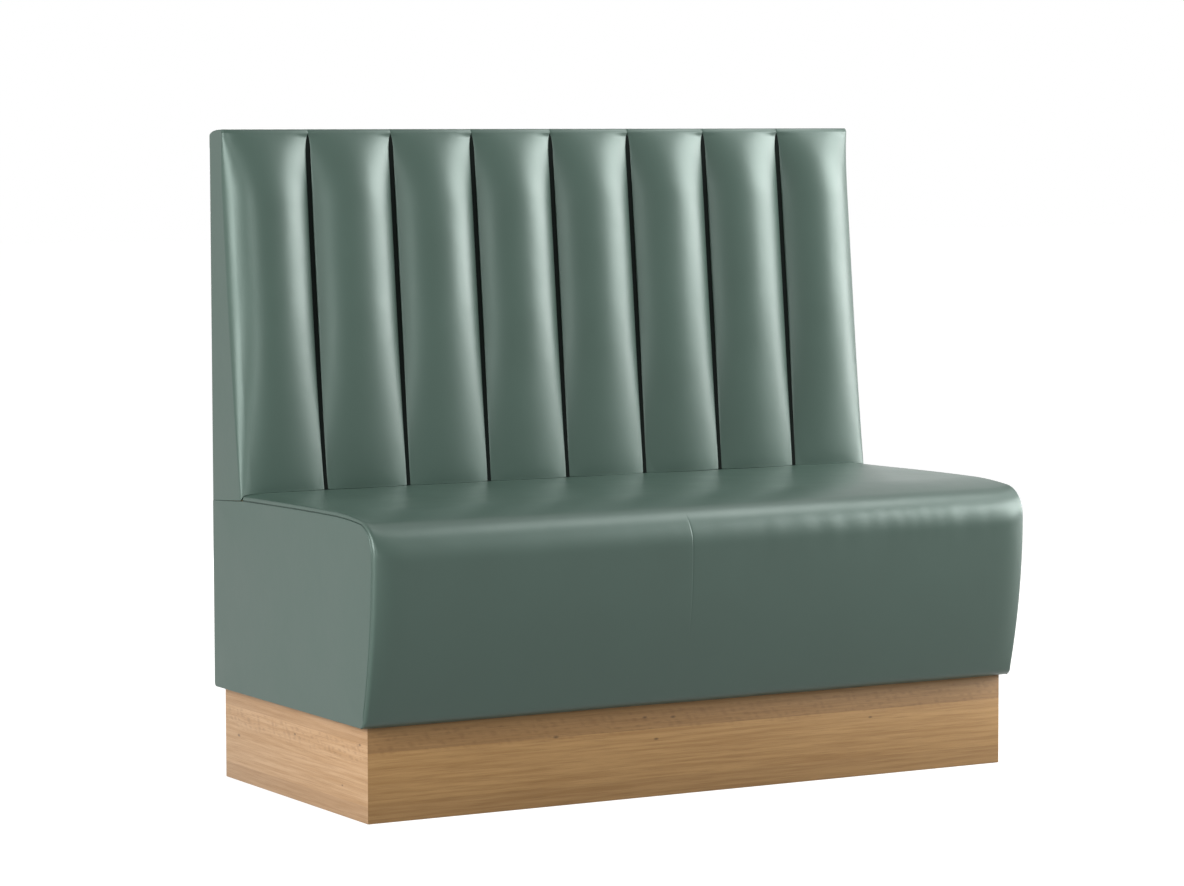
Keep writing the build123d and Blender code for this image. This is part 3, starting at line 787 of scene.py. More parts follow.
def hand_wave(x, y, z):
    """Unevenness of leather pulled by hand. Its upright folds under the nose grow to the right."""
    near = math.exp(-(((z - (seat_top - fold_drop)) / fold_reach) ** 2))
    share = min(max(0.35 + x / side, 0.1), 1)
    folds = fold_depth * near * share * noise.noise(Vector((x / fold_pitch, 3.1, z * 5)))
    return wave_depth * noise.noise(Vector((x * 7, y * 5, z * 5))) + folds


def cushion_rings():
    """The cushion's rings from left to right, as an array of ring, point and axis."""
    walls = [(side - seam_depth, seam_mouth / 2), (side - seam_lip, seam_lip)]
    stations = [(-x, more) for x, more in walls]
    stations += [(x, 0.0) for x in seat_stations()] + [(x, more) for x, more in walls[::-1]]
    rings = []
    for x, more in stations:
        line = seat_outline(float(end_share(x)))
        turned = more + (cover_corner if more else roll(side - abs(x), cover_corner))
        inset = turned * above_hem(line) + crease(x, line[:, 1])
        wave = np.array([hand_wave(x, y, z) for y, z in line])
        skin = line + normals_of(line) * (inset + wave)[:, None]
        inner_x = math.copysign(min(abs(x), side - seam_depth - seam_lip), x)
        rings.append(
            [(x, y, z) for y, z in skin]
            + [(inner_x, seat_front + hem_in, plinth_top + frame_gap)]
            + [(inner_x, seat_rear, z) for z in (plinth_top + frame_gap, skin[0][1] - frame_gap)]
        )
    return np.array(rings)

# %% [markdown]
# ## Its stuffing
# The cushion's rings stand very close at the seams, and cloth is unsteady where points crowd. So a copy with
# evenly spaced rings is simulated, and the cushion's own points move as the copy's do. A flat sheet this wide
# swells like a balloon with nothing but a pressure behind it, so what it moves is scaled down to the limit.

# %% Swell the seat as cloth
cloth_cell = 11 * mm


def held_on_seat(points):
    """The side seams, the hem, and what lies under the back."""
    seams = np.abs(points[:, 0]) > side - 2 * seam_hold
    hem = points[:, 2] < hem_bottom + hem_fade
    rear = points[:, 1] > groove_y(seat_top) - bulge
    return seams | hem | rear


def swollen(rings):
    """The rings after the simulation of a copy with fewer of them."""
    count = rings.shape[1]
    places = rings[:, 0, 0]
    kept_rows = [0]
    for row, place in enumerate(places):
        if place - places[kept_rows[-1]] > cloth_cell:
            kept_rows.append(row)
    kept_rows[-1] = len(rings) - 1
    columns = [*range(0, count - 3, 2), *range(count - 3, count)]
    coarse = rings[np.ix_(kept_rows, columns)]
    copy = make_piece("seat_cloth_copy", *close_tube([list(ring) for ring in coarse]), leather)
    (move,) = moves_under_pressure([copy], held_on_seat, seat_pressure)
    bpy.data.objects.remove(copy)
    move = move.reshape(coarse.shape)
    for axis in range(3):
        along = np.array([np.interp(range(count), columns, line) for line in move[:, :, axis]])
        spread = np.array([np.interp(places, places[kept_rows], line) for line in along.T])
        rings[:, :, axis] += spread.T
    return rings


rings = cushion_rings()
rings = swollen(rings)
seat_cushion = make_piece("seat_cushion", *close_tube(rings), leather)

# %% [markdown]
# ## The flat sides of the seat
# Each side is one flat panel, sewn to the cover all round the nose, a few millimetres in from the edge. It
# is made as rings that shrink from its outline towards a middle point. The outermost rings come up out of
# the seam, and the rest carry a crown of about a millimetre, because there is only thin padding under them.
# A thin strip behind it is the leather that is turned in over the rear edge.

# %% Side panels
ring_steps = np.array([0, 0.2, 0.5, 0.9, 1.4, 2.0, 4.0, 7.0, 13.0, 25.0, 45.0, 75.0, 115.0]) * mm
panel_roll = 2.0 * mm
panel_step = 9 * mm
panel_corner = 6 * mm
plate_share = 0.985
side_crown = 0.8 * mm
side_crown_run = 60 * mm
leather_thickness = 1.2 * mm
hem_edge = 0.4 * mm


def resample(line, step):
    """Points about a step apart along a closed line, with its corners kept."""
    out = []
    for a, b in zip(line, np.roll(line, -1, axis=0)):
        parts = max(1, round(np.linalg.norm(b - a) / step))
        out += [a + (b - a) * k / parts for k in range(parts)]
    return np.array(out)


def side_outline():
    """Outline of the side panel as (y, z), with its corner at the lower rear rounded."""
    nose = seat_outline(1.0)[:-1]
    nose = nose + normals_of(nose) * (above_hem(nose) * (cover_corner + seam_mouth))[:, None]
    angles = np.linspace(0, math.pi / 2, 6)
    lower_y = rear_face - panel_corner * (1 - np.sin(angles))
    lower_z = hem_bottom + panel_corner * (1 - np.cos(angles))
    upper = [(rear_face, joint_rear - soft_gap), (seat_rear, joint_front - soft_gap)]
    return resample(np.concatenate([nose, pairs(lower_y, lower_z), upper]), panel_step)


def rear_hem(sign):
    """The leather of a side that is turned in over the rear edge, as a thin closed strip."""
    outer = side - seam_depth
    inner = side - hem_width
    across = (outer, outer, outer - hem_edge, inner + 5 * hem_edge, inner, inner)
    depth_shares = (-1.0, -0.3, 0.0, 0.0, -0.4, -1.0)
    rings = []
    for z in np.linspace(hem_bottom + frame_gap, joint_rear - soft_gap, 12):
        rings.append([(sign * x, rear_face + leather_thickness * d, z) for x, d in zip(across, depth_shares)])
    return close_tube(rings)


def make_side(sign):
    outline = side_outline()
    middle = outline.mean(axis=0)
    reach = np.linalg.norm(outline - middle, axis=1)
    plate_x = sign * (side - panel_thickness)
    rings = [[(plate_x, y, z) for y, z in middle + (outline - middle) * plate_share]]
    for distance in ring_steps:
        ring = middle + (outline - middle) * (1 - distance / reach)[:, None]
        inset = roll(distance, panel_roll) if distance else seam_depth
        x = sign * (side - inset + side_crown * covered(distance, side_crown_run))
        rings.append([(x, y, z) for y, z in ring])
    points, faces = close_tube(rings)
    hem_points, hem_faces = rear_hem(sign)
    faces += [tuple(len(points) + k for k in face) for face in hem_faces]
    return points + hem_points, faces


seat_left_side = make_piece("seat_left_side", *make_side(-1), leather)
seat_right_side = make_piece("seat_right_side", *make_side(1), leather)

# %% [markdown]
# ## Oak
# The plinth boards are glued up from oak staves, planed and oiled. From a step away the eye reads long fine
# streaks along the board, slow bands of lighter and darker wood, staves of slightly different brown, a few
# small knots, and in places a ripple across the grain, where the fibres wave. Each of these is one texture,
# stretched or cut off by a real length. Fibres are finer than the render can show, so the streaks are drawn
# a few millimetres wide.

# %% Places on an oak board
stave_offset = 7.0
patch_size = (150 * mm, 60 * mm, 26 * mm)
ripple_pitch = 15 * mm
ripple_slant = math.radians(35)
ripple_fade_in = 12 * mm
ripple_fade_out = 4 * mm
knot_stretch = 2.2


def stave_places(add, along, height, staves_and_shade):
    """How dark each glued-up strip is, painted shade included, and the board's coordinates with the grain
    shifted from strip to strip.
    """
    stave_tone_and_shade = add("ValToRGB", {0: add("Math", {0: height, 1: plinth_top}, operation="DIVIDE")})
    ramp = stave_tone_and_shade.color_ramp
    ramp.interpolation = "CONSTANT"
    ramp.elements[0].color = (staves_and_shade[0][1],) * 3 + (1,)
    for edge, darkness in staves_and_shade[1:]:
        ramp.elements.new(edge / plinth_top).color = (darkness,) * 3 + (1,)
    ramp.elements.remove(ramp.elements[-1])
    shift = add("VectorMath", {0: stave_tone_and_shade, "Scale": stave_offset}, operation="SCALE")
    return stave_tone_and_shade, add("VectorMath", {0: along, 1: shift}, operation="ADD")


def ripple_figure(add, along, own, height, zone):
    """Strength of the ripple across the grain, which shows between two heights and there in patches."""
    low, high = zone
    patch_cells = add("Mapping", {"Vector": own, "Scale": per_cell(patch_size)})
    patches = add("TexNoise", {"Vector": patch_cells, "Detail": 2.0})
    slanted = add("Mapping", {"Vector": along, "Rotation": (0, ripple_slant, 0)})
    waves = {"Vector": slanted, "Scale": wave_scale / ripple_pitch, "Distortion": 5.0}
    waves.update({"Detail": 2.0, "Detail Scale": 1.4})
    figure = add("TexWave", waves, bands_direction="X")
    rising = {0: height, 1: low, 2: low + ripple_fade_in}
    falling = {0: height, 1: high, 2: high + ripple_fade_out, 3: 1.0, 4: 0.0}
    patchy = {0: patches, 1: 0.46, 2: 0.6}
    for fade in (rising, falling, patchy):
        figure = add("Math", {0: add("MapRange", fade), 1: figure}, operation="MULTIPLY")
    return figure


def knot_spots(add, along, knots):
    """1 in the middle of each knot, falling to 0 at its radius. A knot is longer along the grain."""
    spots = 0.0
    for x, z, radius in knots:
        offset = add("VectorMath", {0: along, 1: (x, 0, z)}, operation="SUBTRACT")
        flat = add("VectorMath", {0: offset, 1: (1 / knot_stretch, 0, 1)}, operation="MULTIPLY")
        reach = add("VectorMath", {0: flat}, operation="LENGTH")
        spot = add("MapRange", {0: reach, 1: 0.25 * radius, 2: radius, 3: 1.0, 4: 0.0})
        spots = add("Math", {0: spot, 1: spots}, operation="MAXIMUM")
    return spots


print("a ripple every", round(ripple_pitch / mm), "mm, and knots", knot_stretch, "times as long as wide")

# %% [markdown]
# ## The finish of the boards
# All these patterns are shares between the oak's light, middle and dark tone, mixed one after the other. The
# front board's tones are darker than the side boards', and each has knots of its own. The front board's top
# stave is darker still as painted shade: the shadow that the seat's overhang casts on it.

# %% Oak
streak_size = (260 * mm, 40 * mm, 2.6 * mm)
band_size = (800 * mm, 90 * mm, 24 * mm)
pore_depth = 0.2 * mm
knot_colour = "#4A321C"


def make_oak(name, grain_turn, tones, staves_and_shade, ripple_zone, knots):
    """Oiled oak. The grain runs along X once the board is turned by grain_turn about Z."""
    light, middle, dark = (colour(code) for code in tones)
    material, add, shader, place = new_material(name)
    along = add("Mapping", {"Vector": place, "Rotation": (0, 0, grain_turn)})
    height = add("SeparateXYZ", {0: along}).outputs["Z"]
    stave_tone_and_shade, own = stave_places(add, along, height, staves_and_shade)
    band_cells = add("Mapping", {"Vector": own, "Scale": per_cell(band_size)})
    bands = add("TexNoise", {"Vector": band_cells, "Detail": 2.0})
    streak_cells = add("Mapping", {"Vector": own, "Scale": per_cell(streak_size)})
    fibre = {"Vector": streak_cells, "Detail": 5.0, "Roughness": 0.62, "Distortion": 0.25}
    streaks = add("TexNoise", fibre)
    figure = ripple_figure(add, along, own, height, ripple_zone)
    spots = knot_spots(add, along, knots)
    layers = [
        (add("MapRange", {0: streaks, 1: 0.50, 2: 0.82, 4: 0.85}), dark),
        (add("Math", {0: figure, 1: 0.34}, operation="MULTIPLY"), dark),
        (stave_tone_and_shade, dark),
        (add("Math", {0: spots, 1: 0.75}, operation="MULTIPLY"), colour(knot_colour)),
    ]
    band_share = add("MapRange", {0: bands, 1: 0.35, 2: 0.68})
    tone = add("Mix", {0: band_share, 6: light, 7: middle}, data_type="RGBA")
    for share, darker in layers:
        tone = add("Mix", {0: share, 6: tone, 7: darker}, data_type="RGBA")
    bump = add("Bump", {"Height": streaks, "Strength": 0.35, "Distance": pore_depth})
    gloss = add("MapRange", {0: streaks, 1: 0.3, 2: 0.8, 3: 0.42, 4: 0.58})
    feed(shader, {"Base Color": tone, "Normal": bump, "Roughness": gloss})
    return material


front_knots = [(-259, 109, 3), (-77, 92, 2.6), (-98, 128, 2.4), (-46, 125, 2.8), (330, 96, 2.2)]
side_knots = [(-233, 75, 3), (-20, 105, 2.4), (212, 119, 2.6), (150, 48, 1.8)]
oak_front = make_oak(
    "oiled_oak_front",
    0,
    ("#B08A58", "#9C7646", "#6A4A28"),
    # The top stave's darkness of 0.42 is painted shade, the shadow of the seat's overhang.
    ((0, 0.12), (30 * mm, 0.0), (108 * mm, 0.42)),
    (100 * mm, 138 * mm),
    [(x * mm, z * mm, r * mm) for x, z, r in front_knots],
)
oak_side = make_oak(
    "oiled_oak_side",
    math.pi / 2,
    ("#BF9B75", "#AD875D", "#785635"),
    ((0, 0.24), (26 * mm, 0.0), (121 * mm, 0.26)),
    (84 * mm, 118 * mm),
    [(x * mm, z * mm, r * mm) for x, z, r in side_knots],
)
print("oak nodes", len(oak_front.node_tree.nodes))

# %% [markdown]
# ## Eased boards
# A sawn board has an arris, and a joiner takes it off with a few strokes. That narrow facet is what catches
# the light at the mitred corner. The boards are copies of the frame's own nodes: their loose triangles are
# merged, flat faces are joined again, and every edge gets a small bevel.

# %% Plinth boards
arris = 0.8 * mm
same_point = 0.05 * mm
same_plane = math.radians(1)


def eased_board(place, material):
    node = f"plinth_{place}_board"
    work = bmesh.new()
    work.from_mesh(frame["nodes"][node].data)
    bmesh.ops.remove_doubles(work, verts=work.verts, dist=same_point)
    bmesh.ops.dissolve_limit(work, angle_limit=same_plane, verts=work.verts, edges=work.edges)
    bmesh.ops.bevel(work, geom=list(work.edges), offset=arris, segments=3, profile=0.5, affect="EDGES")
    points = [v.co.copy() for v in work.verts]
    faces = [[v.index for v in f.verts] for f in work.faces]
    work.free()
    piece = make_piece(f"oak_{place}_board", points, faces, material)
    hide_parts(node)
    return piece


board_finishes = {"front": oak_front, "left": oak_side, "right": oak_side}
boards = [eased_board(place, material) for place, material in board_finishes.items()]

# %% [markdown]
# ## Plywood
# The boxes under the leather show from below and from behind. Birch plywood is pale and calm on its face and
# striped at every cut edge, where its plies lie across each other. Both looks come from one pattern: stripes
# that are stacked through the board cut its edges, and on its face they stay at one phase.

# %% Plywood
ply_pair = 3.0 * mm
birch_grain = (90 * mm, 90 * mm, 2.2 * mm)
sanded_depth = 0.1 * mm
quarter = math.pi / 2


def make_plywood(name, turn):
    """Birch plywood, rotary cut and sanded. Its plies are stacked along Z once the board is turned."""
    material, add, shader, place = new_material(name)
    board = add("Mapping", {"Vector": place, "Rotation": turn})
    stack = {"Vector": board, "Scale": wave_scale / ply_pair, "Distortion": 0.15}
    plies = add("TexWave", stack, bands_direction="Z").outputs["Fac"]
    grain_cells = add("Mapping", {"Vector": place, "Scale": per_cell(birch_grain)})
    grain = add("TexNoise", {"Vector": grain_cells, "Detail": 5.0})
    face_share = add("MapRange", {0: grain, 1: 0.35, 2: 0.7})
    edge_share = add("MapRange", {0: plies, 1: 0.55, 2: 0.7, 4: 0.45})
    face = {0: face_share, 6: colour("#DCC296"), 7: colour("#C9A873")}
    tone = add("Mix", face, data_type="RGBA")
    tone = add("Mix", {0: edge_share, 6: tone, 7: colour("#9C7445")}, data_type="RGBA")
    bump = add("Bump", {"Height": grain, "Strength": 0.3, "Distance": sanded_depth})
    gloss = add("MapRange", {0: grain, 1: 0.3, 2: 0.7, 3: 0.55, 4: 0.7})
    feed(shader, {"Base Color": tone, "Normal": bump, "Roughness": gloss})
    return material


plywood = {
    "X": make_plywood("sanded_birch_plywood_upright", (0, quarter, 0)),
    "Y": make_plywood("sanded_birch_plywood_facing", (quarter, 0, 0)),
    "raked": make_plywood("sanded_birch_plywood_raked", (quarter - rake, 0, 0)),
    "Z": make_plywood("sanded_birch_plywood_level", (0, 0, 0)),
}
print("plywood finishes", list(plywood))

# %% [markdown]
# ## Spruce
# The rails are planed spruce, which is yellower, with growth rings that run along the rail as long stripes.
# Each ring darkens slowly through the summer and ends sharply, which a saw wave gives.

# %% Spruce
ring_pitch = 5 * mm
ring_stretch = (12, 1, 1)
spruce_fibre = (120 * mm, 2 * mm, 2 * mm)


def make_softwood(name, turn):
    """Planed spruce. The rail lies along X once it is turned, and its rings are cut lengthwise."""
    material, add, shader, place = new_material(name)
    along = add("Mapping", {"Vector": place, "Rotation": (0, 0, turn)})
    ring_cells = add("Mapping", {"Vector": along, "Scale": per_cell(ring_stretch)})
    growth = {"Vector": ring_cells, "Scale": wave_scale / ring_pitch, "Distortion": 4.0}
    growth.update({"Detail": 2.0, "Detail Scale": 0.6})
    rings = add("TexWave", growth, bands_direction="Z", wave_profile="SAW").outputs["Fac"]
    fibre_cells = add("Mapping", {"Vector": along, "Scale": per_cell(spruce_fibre)})
    fibres = add("TexNoise", {"Vector": fibre_cells, "Detail": 4.0})
    late = add("MapRange", {0: rings, 1: 0.55, 2: 1.0})
    tone = add("Mix", {0: late, 6: colour("#E0C393"), 7: colour("#BE8F56")}, data_type="RGBA")
    fibre_share = add("MapRange", {0: fibres, 1: 0.5, 2: 0.8, 4: 0.35})
    tone = add("Mix", {0: fibre_share, 6: tone, 7: colour("#9B6F3D")}, data_type="RGBA")
    bump = add("Bump", {"Height": fibres, "Strength": 0.3, "Distance": sanded_depth})
    feed(shader, {"Base Color": tone, "Normal": bump, "Roughness": 0.6})
    return material


spruce_along = make_softwood("planed_spruce_along", 0)
spruce_across = make_softwood("planed_spruce_across", quarter)
print("spruce nodes", len(spruce_along.node_tree.nodes))

# %% [markdown]
# ## Jute, hessian and steel
# Jute webbing and hessian are both plain weaves of the same brown fibre, one with thick close threads and one
# thin and open, so the cloth function makes both. Screws, bolts and T-nuts are steel with a thin bright zinc
# plating, which is bluish and a little cloudy.

# %% Jute, hessian and steel
jute_thread = 2.4 * mm
hessian_thread = 1.8 * mm
rear_thread = 1.0 * mm
zinc_cloud = 6 * mm
jute = make_cloth("woven_jute_webbing", "#A98C60", jute_thread, "Y")
hessian = make_cloth("woven_hessian", "#B79A6C", hessian_thread, "Y")
rear_cloth = make_cloth("woven_black_polypropylene", "#272728", rear_thread)


def make_zinc():
    material, add, shader, place = new_material("bright_zinc_plated_steel")
    cloud = add("TexNoise", {"Vector": place, "Scale": 1 / zinc_cloud, "Detail": 3.0})
    tone = add("Mix", {0: cloud, 6: colour("#AEB4BA"), 7: colour("#C9CBC6")}, data_type="RGBA")
    gloss = add("MapRange", {0: cloud, 1: 0.3, 2: 0.7, 3: 0.25, 4: 0.4})
    feed(shader, {"Base Color": tone, "Roughness": gloss, "Metallic": 1.0})
    return material


zinc = make_zinc()
board_axes = {
    "seat_base_board": "Z",
    "seat_back_ledge": "Z",
    "seat_front_panel": "Y",
    "back_front_ply": "raked",
}
plain_finishes = {"jute_webbing": jute, "hessian": hessian, "zinc_steel": zinc, "oak": oak_front}


def finish_of(node, slot):
    """The material of a node of the frame, from the record's slot and from how the board lies."""
    if slot == "plywood":
        return plywood[board_axes.get(node, "X")]
    if slot == "softwood":
        return spruce_across if node == "plinth_cross_rails" else spruce_along
    return plain_finishes.get(slot, rear_cloth)


for part in frame["record"]["subparts"]:
    if part["material_slot"] in ("green_leather", "foam", "wadding"):
        continue
    for place in frame["nodes"][part["node"]].material_slots:
        place.material = finish_of(part["node"], part["material_slot"])
print("frame nodes with a finish", sum(bool(n.material_slots) for n in frame["nodes"].values()))

# %% [markdown]
# ## The cloth on the rear
# The rear never shows in use, so it is closed with black cloth: one piece on the back and one on the seat.
# The cloth is pulled tight and stapled round its edge, and between two staples it lifts by a fraction of a
# millimetre. That ripple is what tells the eye that this is cloth and not a painted board.

# %% Rear cloths
cloth_thickness = 0.5 * mm
cloth_step = 7 * mm
cloth_slack = 0.3 * mm
staple_pitch = 42 * mm
staple_inset = 9 * mm
ripple_depth = 0.45 * mm
ripple_reach = 30 * mm


def staple_ripple(from_edge, along):
    """Lift between the staples of an edge, which dies away from that edge."""
    return math.exp(-from_edge / ripple_reach) * (1 - math.cos(2 * math.pi * along / staple_pitch))


def make_rear_cloth(low, high):
    """A thin sheet on the wall side, with a folded edge and ripples between its staples."""
    xs = np.linspace(low.x, high.x, round((high.x - low.x) / cloth_step) + 1)
    zs = np.linspace(low.z, high.z, round((high.z - low.z) / cloth_step) + 1)
    rings = []
    for z in zs:
        edge_z = min(z - low.z, high.z - z)
        outer = []
        for x in xs:
            edge_x = min(x - low.x, high.x - x)
            ripples = staple_ripple(edge_x, z - low.z) + staple_ripple(edge_z, x - low.x)
            slack = cloth_slack * (1 + noise.noise(Vector((4 * x, 0, 4 * z))))
            turned = roll(min(edge_x, edge_z), cloth_thickness)
            outer.append((x, rear_face + cloth_thickness - turned + ripple_depth / 2 * ripples + slack, z))
        rings.append(outer + [(x, rear_face, z) for x in xs[::-1]])
    return close_tube(rings)


rear_nodes = ("seat_rear_cloth", "back_rear_cloth")
rear_cloths = []
for node in rear_nodes:
    low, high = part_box(node)
    cloth = make_piece(f"{node}_sheet", *make_rear_cloth(low, high), rear_cloth)
    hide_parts(node)
    rear_cloths.append(cloth)

# %% [markdown]
# ## Staples and stitches
# A row of staples and a row of stitches are the same thing at two sizes: a short bent wire, repeated along a
# path, that turns with the path and never lies quite straight. So one tree of Geometry Nodes makes both. It
# takes the path as a line of edges, puts a point every pitch, sizes one wire, and sets a copy on each point.
# The pitch, the length, the rise, the thickness and the unevenness are inputs.

# %% The row of bent wires
row_seed = 7
wire_foot = -1.0
wire_crown = 1.6
row_sockets = {
    "Geometry": "Geometry",
    "Pitch": "Float",
    "Length": "Float",
    "Rise": "Float",
    "Thickness": "Float",
    "Unevenness": "Float",
    "Outward": "Vector",
    "Material": "Material",
}


def make_row_tree():
    tree = bpy.data.node_groups.new("row_of_bent_wires", "GeometryNodeTree")
    for name, kind in row_sockets.items():
        tree.interface.new_socket(name, in_out="INPUT", socket_type=f"NodeSocket{kind}")
    tree.interface.new_socket("Geometry", in_out="OUTPUT", socket_type="NodeSocketGeometry")
    add = partial(add_node, tree)
    given = add("NodeGroupInput").outputs
    path = add("GeometryNodeMeshToCurve", {0: given["Geometry"]})
    places = add("GeometryNodeResampleCurve", {0: path, 3: given["Pitch"]}, mode="LENGTH")
    ends = [(-0.5, 0, wire_foot), (-0.5, 0, wire_crown), (0.5, 0, wire_crown), (0.5, 0, wire_foot)]
    bow = add("GeometryNodeCurvePrimitiveBezierSegment", {0: 7, **dict(enumerate(ends, 1))})
    size = add("CombineXYZ", {0: given["Length"], 1: 1.0, 2: given["Rise"]})
    wire = add("GeometryNodeTransform", {0: bow, "Scale": size})
    radius = add("Math", {0: given["Thickness"], 1: 0.5}, operation="MULTIPLY")
    circle = add("GeometryNodeCurvePrimitiveCircle", {0: 5, 4: radius})
    one = add("GeometryNodeCurveToMesh", {0: wire, 1: circle, "Fill Caps": True})
    outward = add("FunctionNodeAlignRotationToVector", {2: given["Outward"]}, axis="Z")
    path_turn = {0: outward, 2: add("GeometryNodeInputTangent")}
    along = add("FunctionNodeAlignRotationToVector", path_turn, axis="X", pivot_axis="Z")
    least = add("Math", {0: given["Unevenness"], 1: -1.0}, operation="MULTIPLY")
    angle = add("FunctionNodeRandomValue", {2: least, 3: given["Unevenness"], 8: row_seed})
    twist = add("FunctionNodeAxisAngleToRotation", {0: (0, 0, 1), 1: angle})
    turned = add("FunctionNodeRotateRotation", {0: along, 1: twist}, rotation_space="LOCAL")
    copies = add("GeometryNodeInstanceOnPoints", {0: places, 2: one, 5: turned})
    real = add("GeometryNodeRealizeInstances", {0: copies})
    done = add("GeometryNodeSetMaterial", {0: real, 2: given["Material"]})
    add("NodeGroupOutput", {0: done})
    return tree


row_tree = make_row_tree()
row_inputs = {item.name: item.identifier for item in row_tree.interface.items_tree if item.in_out == "INPUT"}
print("inputs of the row", list(row_inputs))

# %% [markdown]
# ## A row as a plain mesh
# A helper object carries the path and the tree as its modifier, whose inputs are set by their socket
# identifiers. The result is taken over as a plain mesh, and the helper is removed with its modifier.

# %% Rows


def make_row(name, paths, values):
    """A plain mesh of all copies along some paths, each a list of points."""
    points, edges = [], []
    for path in paths:
        start = len(points)
        points += [tuple(p) for p in path]
        edges += [(start + k, start + k + 1) for k in range(len(path) - 1)]
    mesh = bpy.data.meshes.new(f"{name}_path")
    mesh.from_pydata(points, edges, [])
    guide = new_object(mesh.name, mesh)
    modifier = guide.modifiers.new("row", "NODES")
    modifier.node_group = row_tree
    for key, value in values.items():
        modifier[row_inputs[key]] = value
    graph = bpy.context.evaluated_depsgraph_get()
    plain = bpy.data.meshes.new_from_object(guide.evaluated_get(graph))
    bpy.data.objects.remove(guide)
    piece = new_object(name, plain)
    print(name, "faces", len(plain.polygons))
    return piece

# %% [markdown]
# ## Rows on this bench
# The staples hold the two rear cloths, one row just inside each edge. The stitches lie deep in the seam round
# the nose of the seat, where only a thread's back shows between the two leathers.

# %% Staples and seam threads
staple = {"Pitch": staple_pitch, "Length": 10 * mm, "Rise": 0.5 * mm, "Thickness": 0.9 * mm}
staple.update({"Unevenness": 0.22, "Outward": (0, 1, 0), "Material": zinc})
staple_lift = 0.3 * mm
stitch = {"Pitch": 4.5 * mm, "Length": 3.6 * mm, "Rise": 0.4 * mm, "Thickness": 0.9 * mm}
stitch["Unevenness"] = 0.08
stitch_share = 0.6
thread_twist = 0.8 * mm


def make_thread():
    """Bonded polyester thread, twisted: dark, with a slight gloss."""
    material, add, shader, place = new_material("twisted_polyester_thread")
    strands = {"Vector": place, "Scale": wave_scale / thread_twist}
    twist = add("TexWave", strands, bands_direction="DIAGONAL").outputs["Fac"]
    tone = add("Mix", {0: twist, 6: colour("#1E2B25"), 7: colour("#2E3F37")}, data_type="RGBA")
    feed(shader, {"Base Color": tone, "Roughness": 0.5})
    return material


def staple_paths(node):
    """The four straight lines just inside a cloth's edges."""
    low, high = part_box(node)
    xs = (low.x + staple_inset, high.x - staple_inset)
    zs = (low.z + staple_inset, high.z - staple_inset)
    y = rear_face + cloth_thickness + staple_lift
    corners = [(xs[i], y, zs[k]) for i, k in ((0, 0), (1, 0), (1, 1), (0, 1), (0, 0))]
    return [corners[k : k + 2] for k in range(4)]


def stitch_path(sign):
    """A line deep in the seam round the nose, on one side of the seat."""
    nose = seat_outline(1.0)[:-2]
    seam = nose + normals_of(nose) * (above_hem(nose) * (cover_corner + seam_mouth / 2))[:, None]
    return [(sign * (side - stitch_share * seam_depth), y, z) for y, z in seam]


staples = [make_row(f"{node}_staples", staple_paths(node), staple) for node in rear_nodes]
stitch["Material"] = make_thread()
seam_threads = []
for sign, label in ((-1, "left"), (1, "right")):
    stitch["Outward"] = (sign, 0, 0)
    name = f"seat_{label}_seam_thread"
    seam_threads.append(make_row(name, [stitch_path(sign)], stitch))

# %% [markdown]
# ## What rides where
# The bench has no moving part, so there is one body, "root". The solids of the frame that each soft piece
# stands for are hidden, and every piece is attached to the root.

# %% Tie the pieces to the frame
for number, piece in enumerate(channels, 1):
    nodes = [f"channel_cover_{number}", f"channel_foam_{number}"]
    if number == 1:
        nodes.append("back_left_side_pad")
    if number == channel_count:
        nodes.append("back_right_side_pad")
    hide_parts(*nodes)
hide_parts("back_top_cover", "back_top_pad")
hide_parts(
    "seat_left_top_cover",
    "seat_right_top_cover",
    "seat_foam",
    "seat_front_foam",
    "seat_wadding",
)
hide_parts("seat_left_side_cover", "seat_left_side_pad")
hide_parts("seat_right_side_cover", "seat_right_side_pad")
padded = [*channels, top_strip, seat_cushion, seat_left_side, seat_right_side]
for piece in padded + boards + [painted_shade_lining] + rear_cloths + staples + seam_threads:
    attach(piece, "root")
print("padded pieces", len(padded))

# %% [markdown]
# ## The camera
# The camera was fitted to the photograph's seams and corners. It stands on the left in front, a little lower
# than the top of the bench, with a long lens, so that upright edges stay nearly parallel.

# %% Camera
camera_lens = 119.32
camera_place = (-3.2104, -5.557, 1.0509)
camera_yaw = math.radians(29.571)
camera_pitch = math.radians(-4.518)
camera_roll = math.radians(0.137)


def make_camera():
    data = bpy.data.cameras.new("camera")
    data.lens = camera_lens
    data.sensor_width = 36
    camera = new_object("camera", data)
    yaw = Matrix.Rotation(-camera_yaw, 4, "Z")
    pitch = Matrix.Rotation(math.pi / 2 + camera_pitch, 4, "X")
    tilt = Matrix.Rotation(-camera_roll, 4, "Z")
    camera.matrix_world = Matrix.Translation(camera_place) @ yaw @ pitch @ tilt
    bpy.context.scene.camera = camera


make_camera()
print("camera lens", camera_lens)

# %% [markdown]
# ## Softboxes
# The bench stands among large softboxes. A strong one on the right gives each channel its highlight, a low
# one beside it lights the channels' right flanks, and a wide one on the left lights the flat side. A narrow
# one on the left in front only lifts the channels' left flanks, one overhead lights the nose of the seat, and
# one behind the rear.

# %% Softboxes
lamp_distance = 3.4
lamp_target = Vector((0, 0, 0.55))


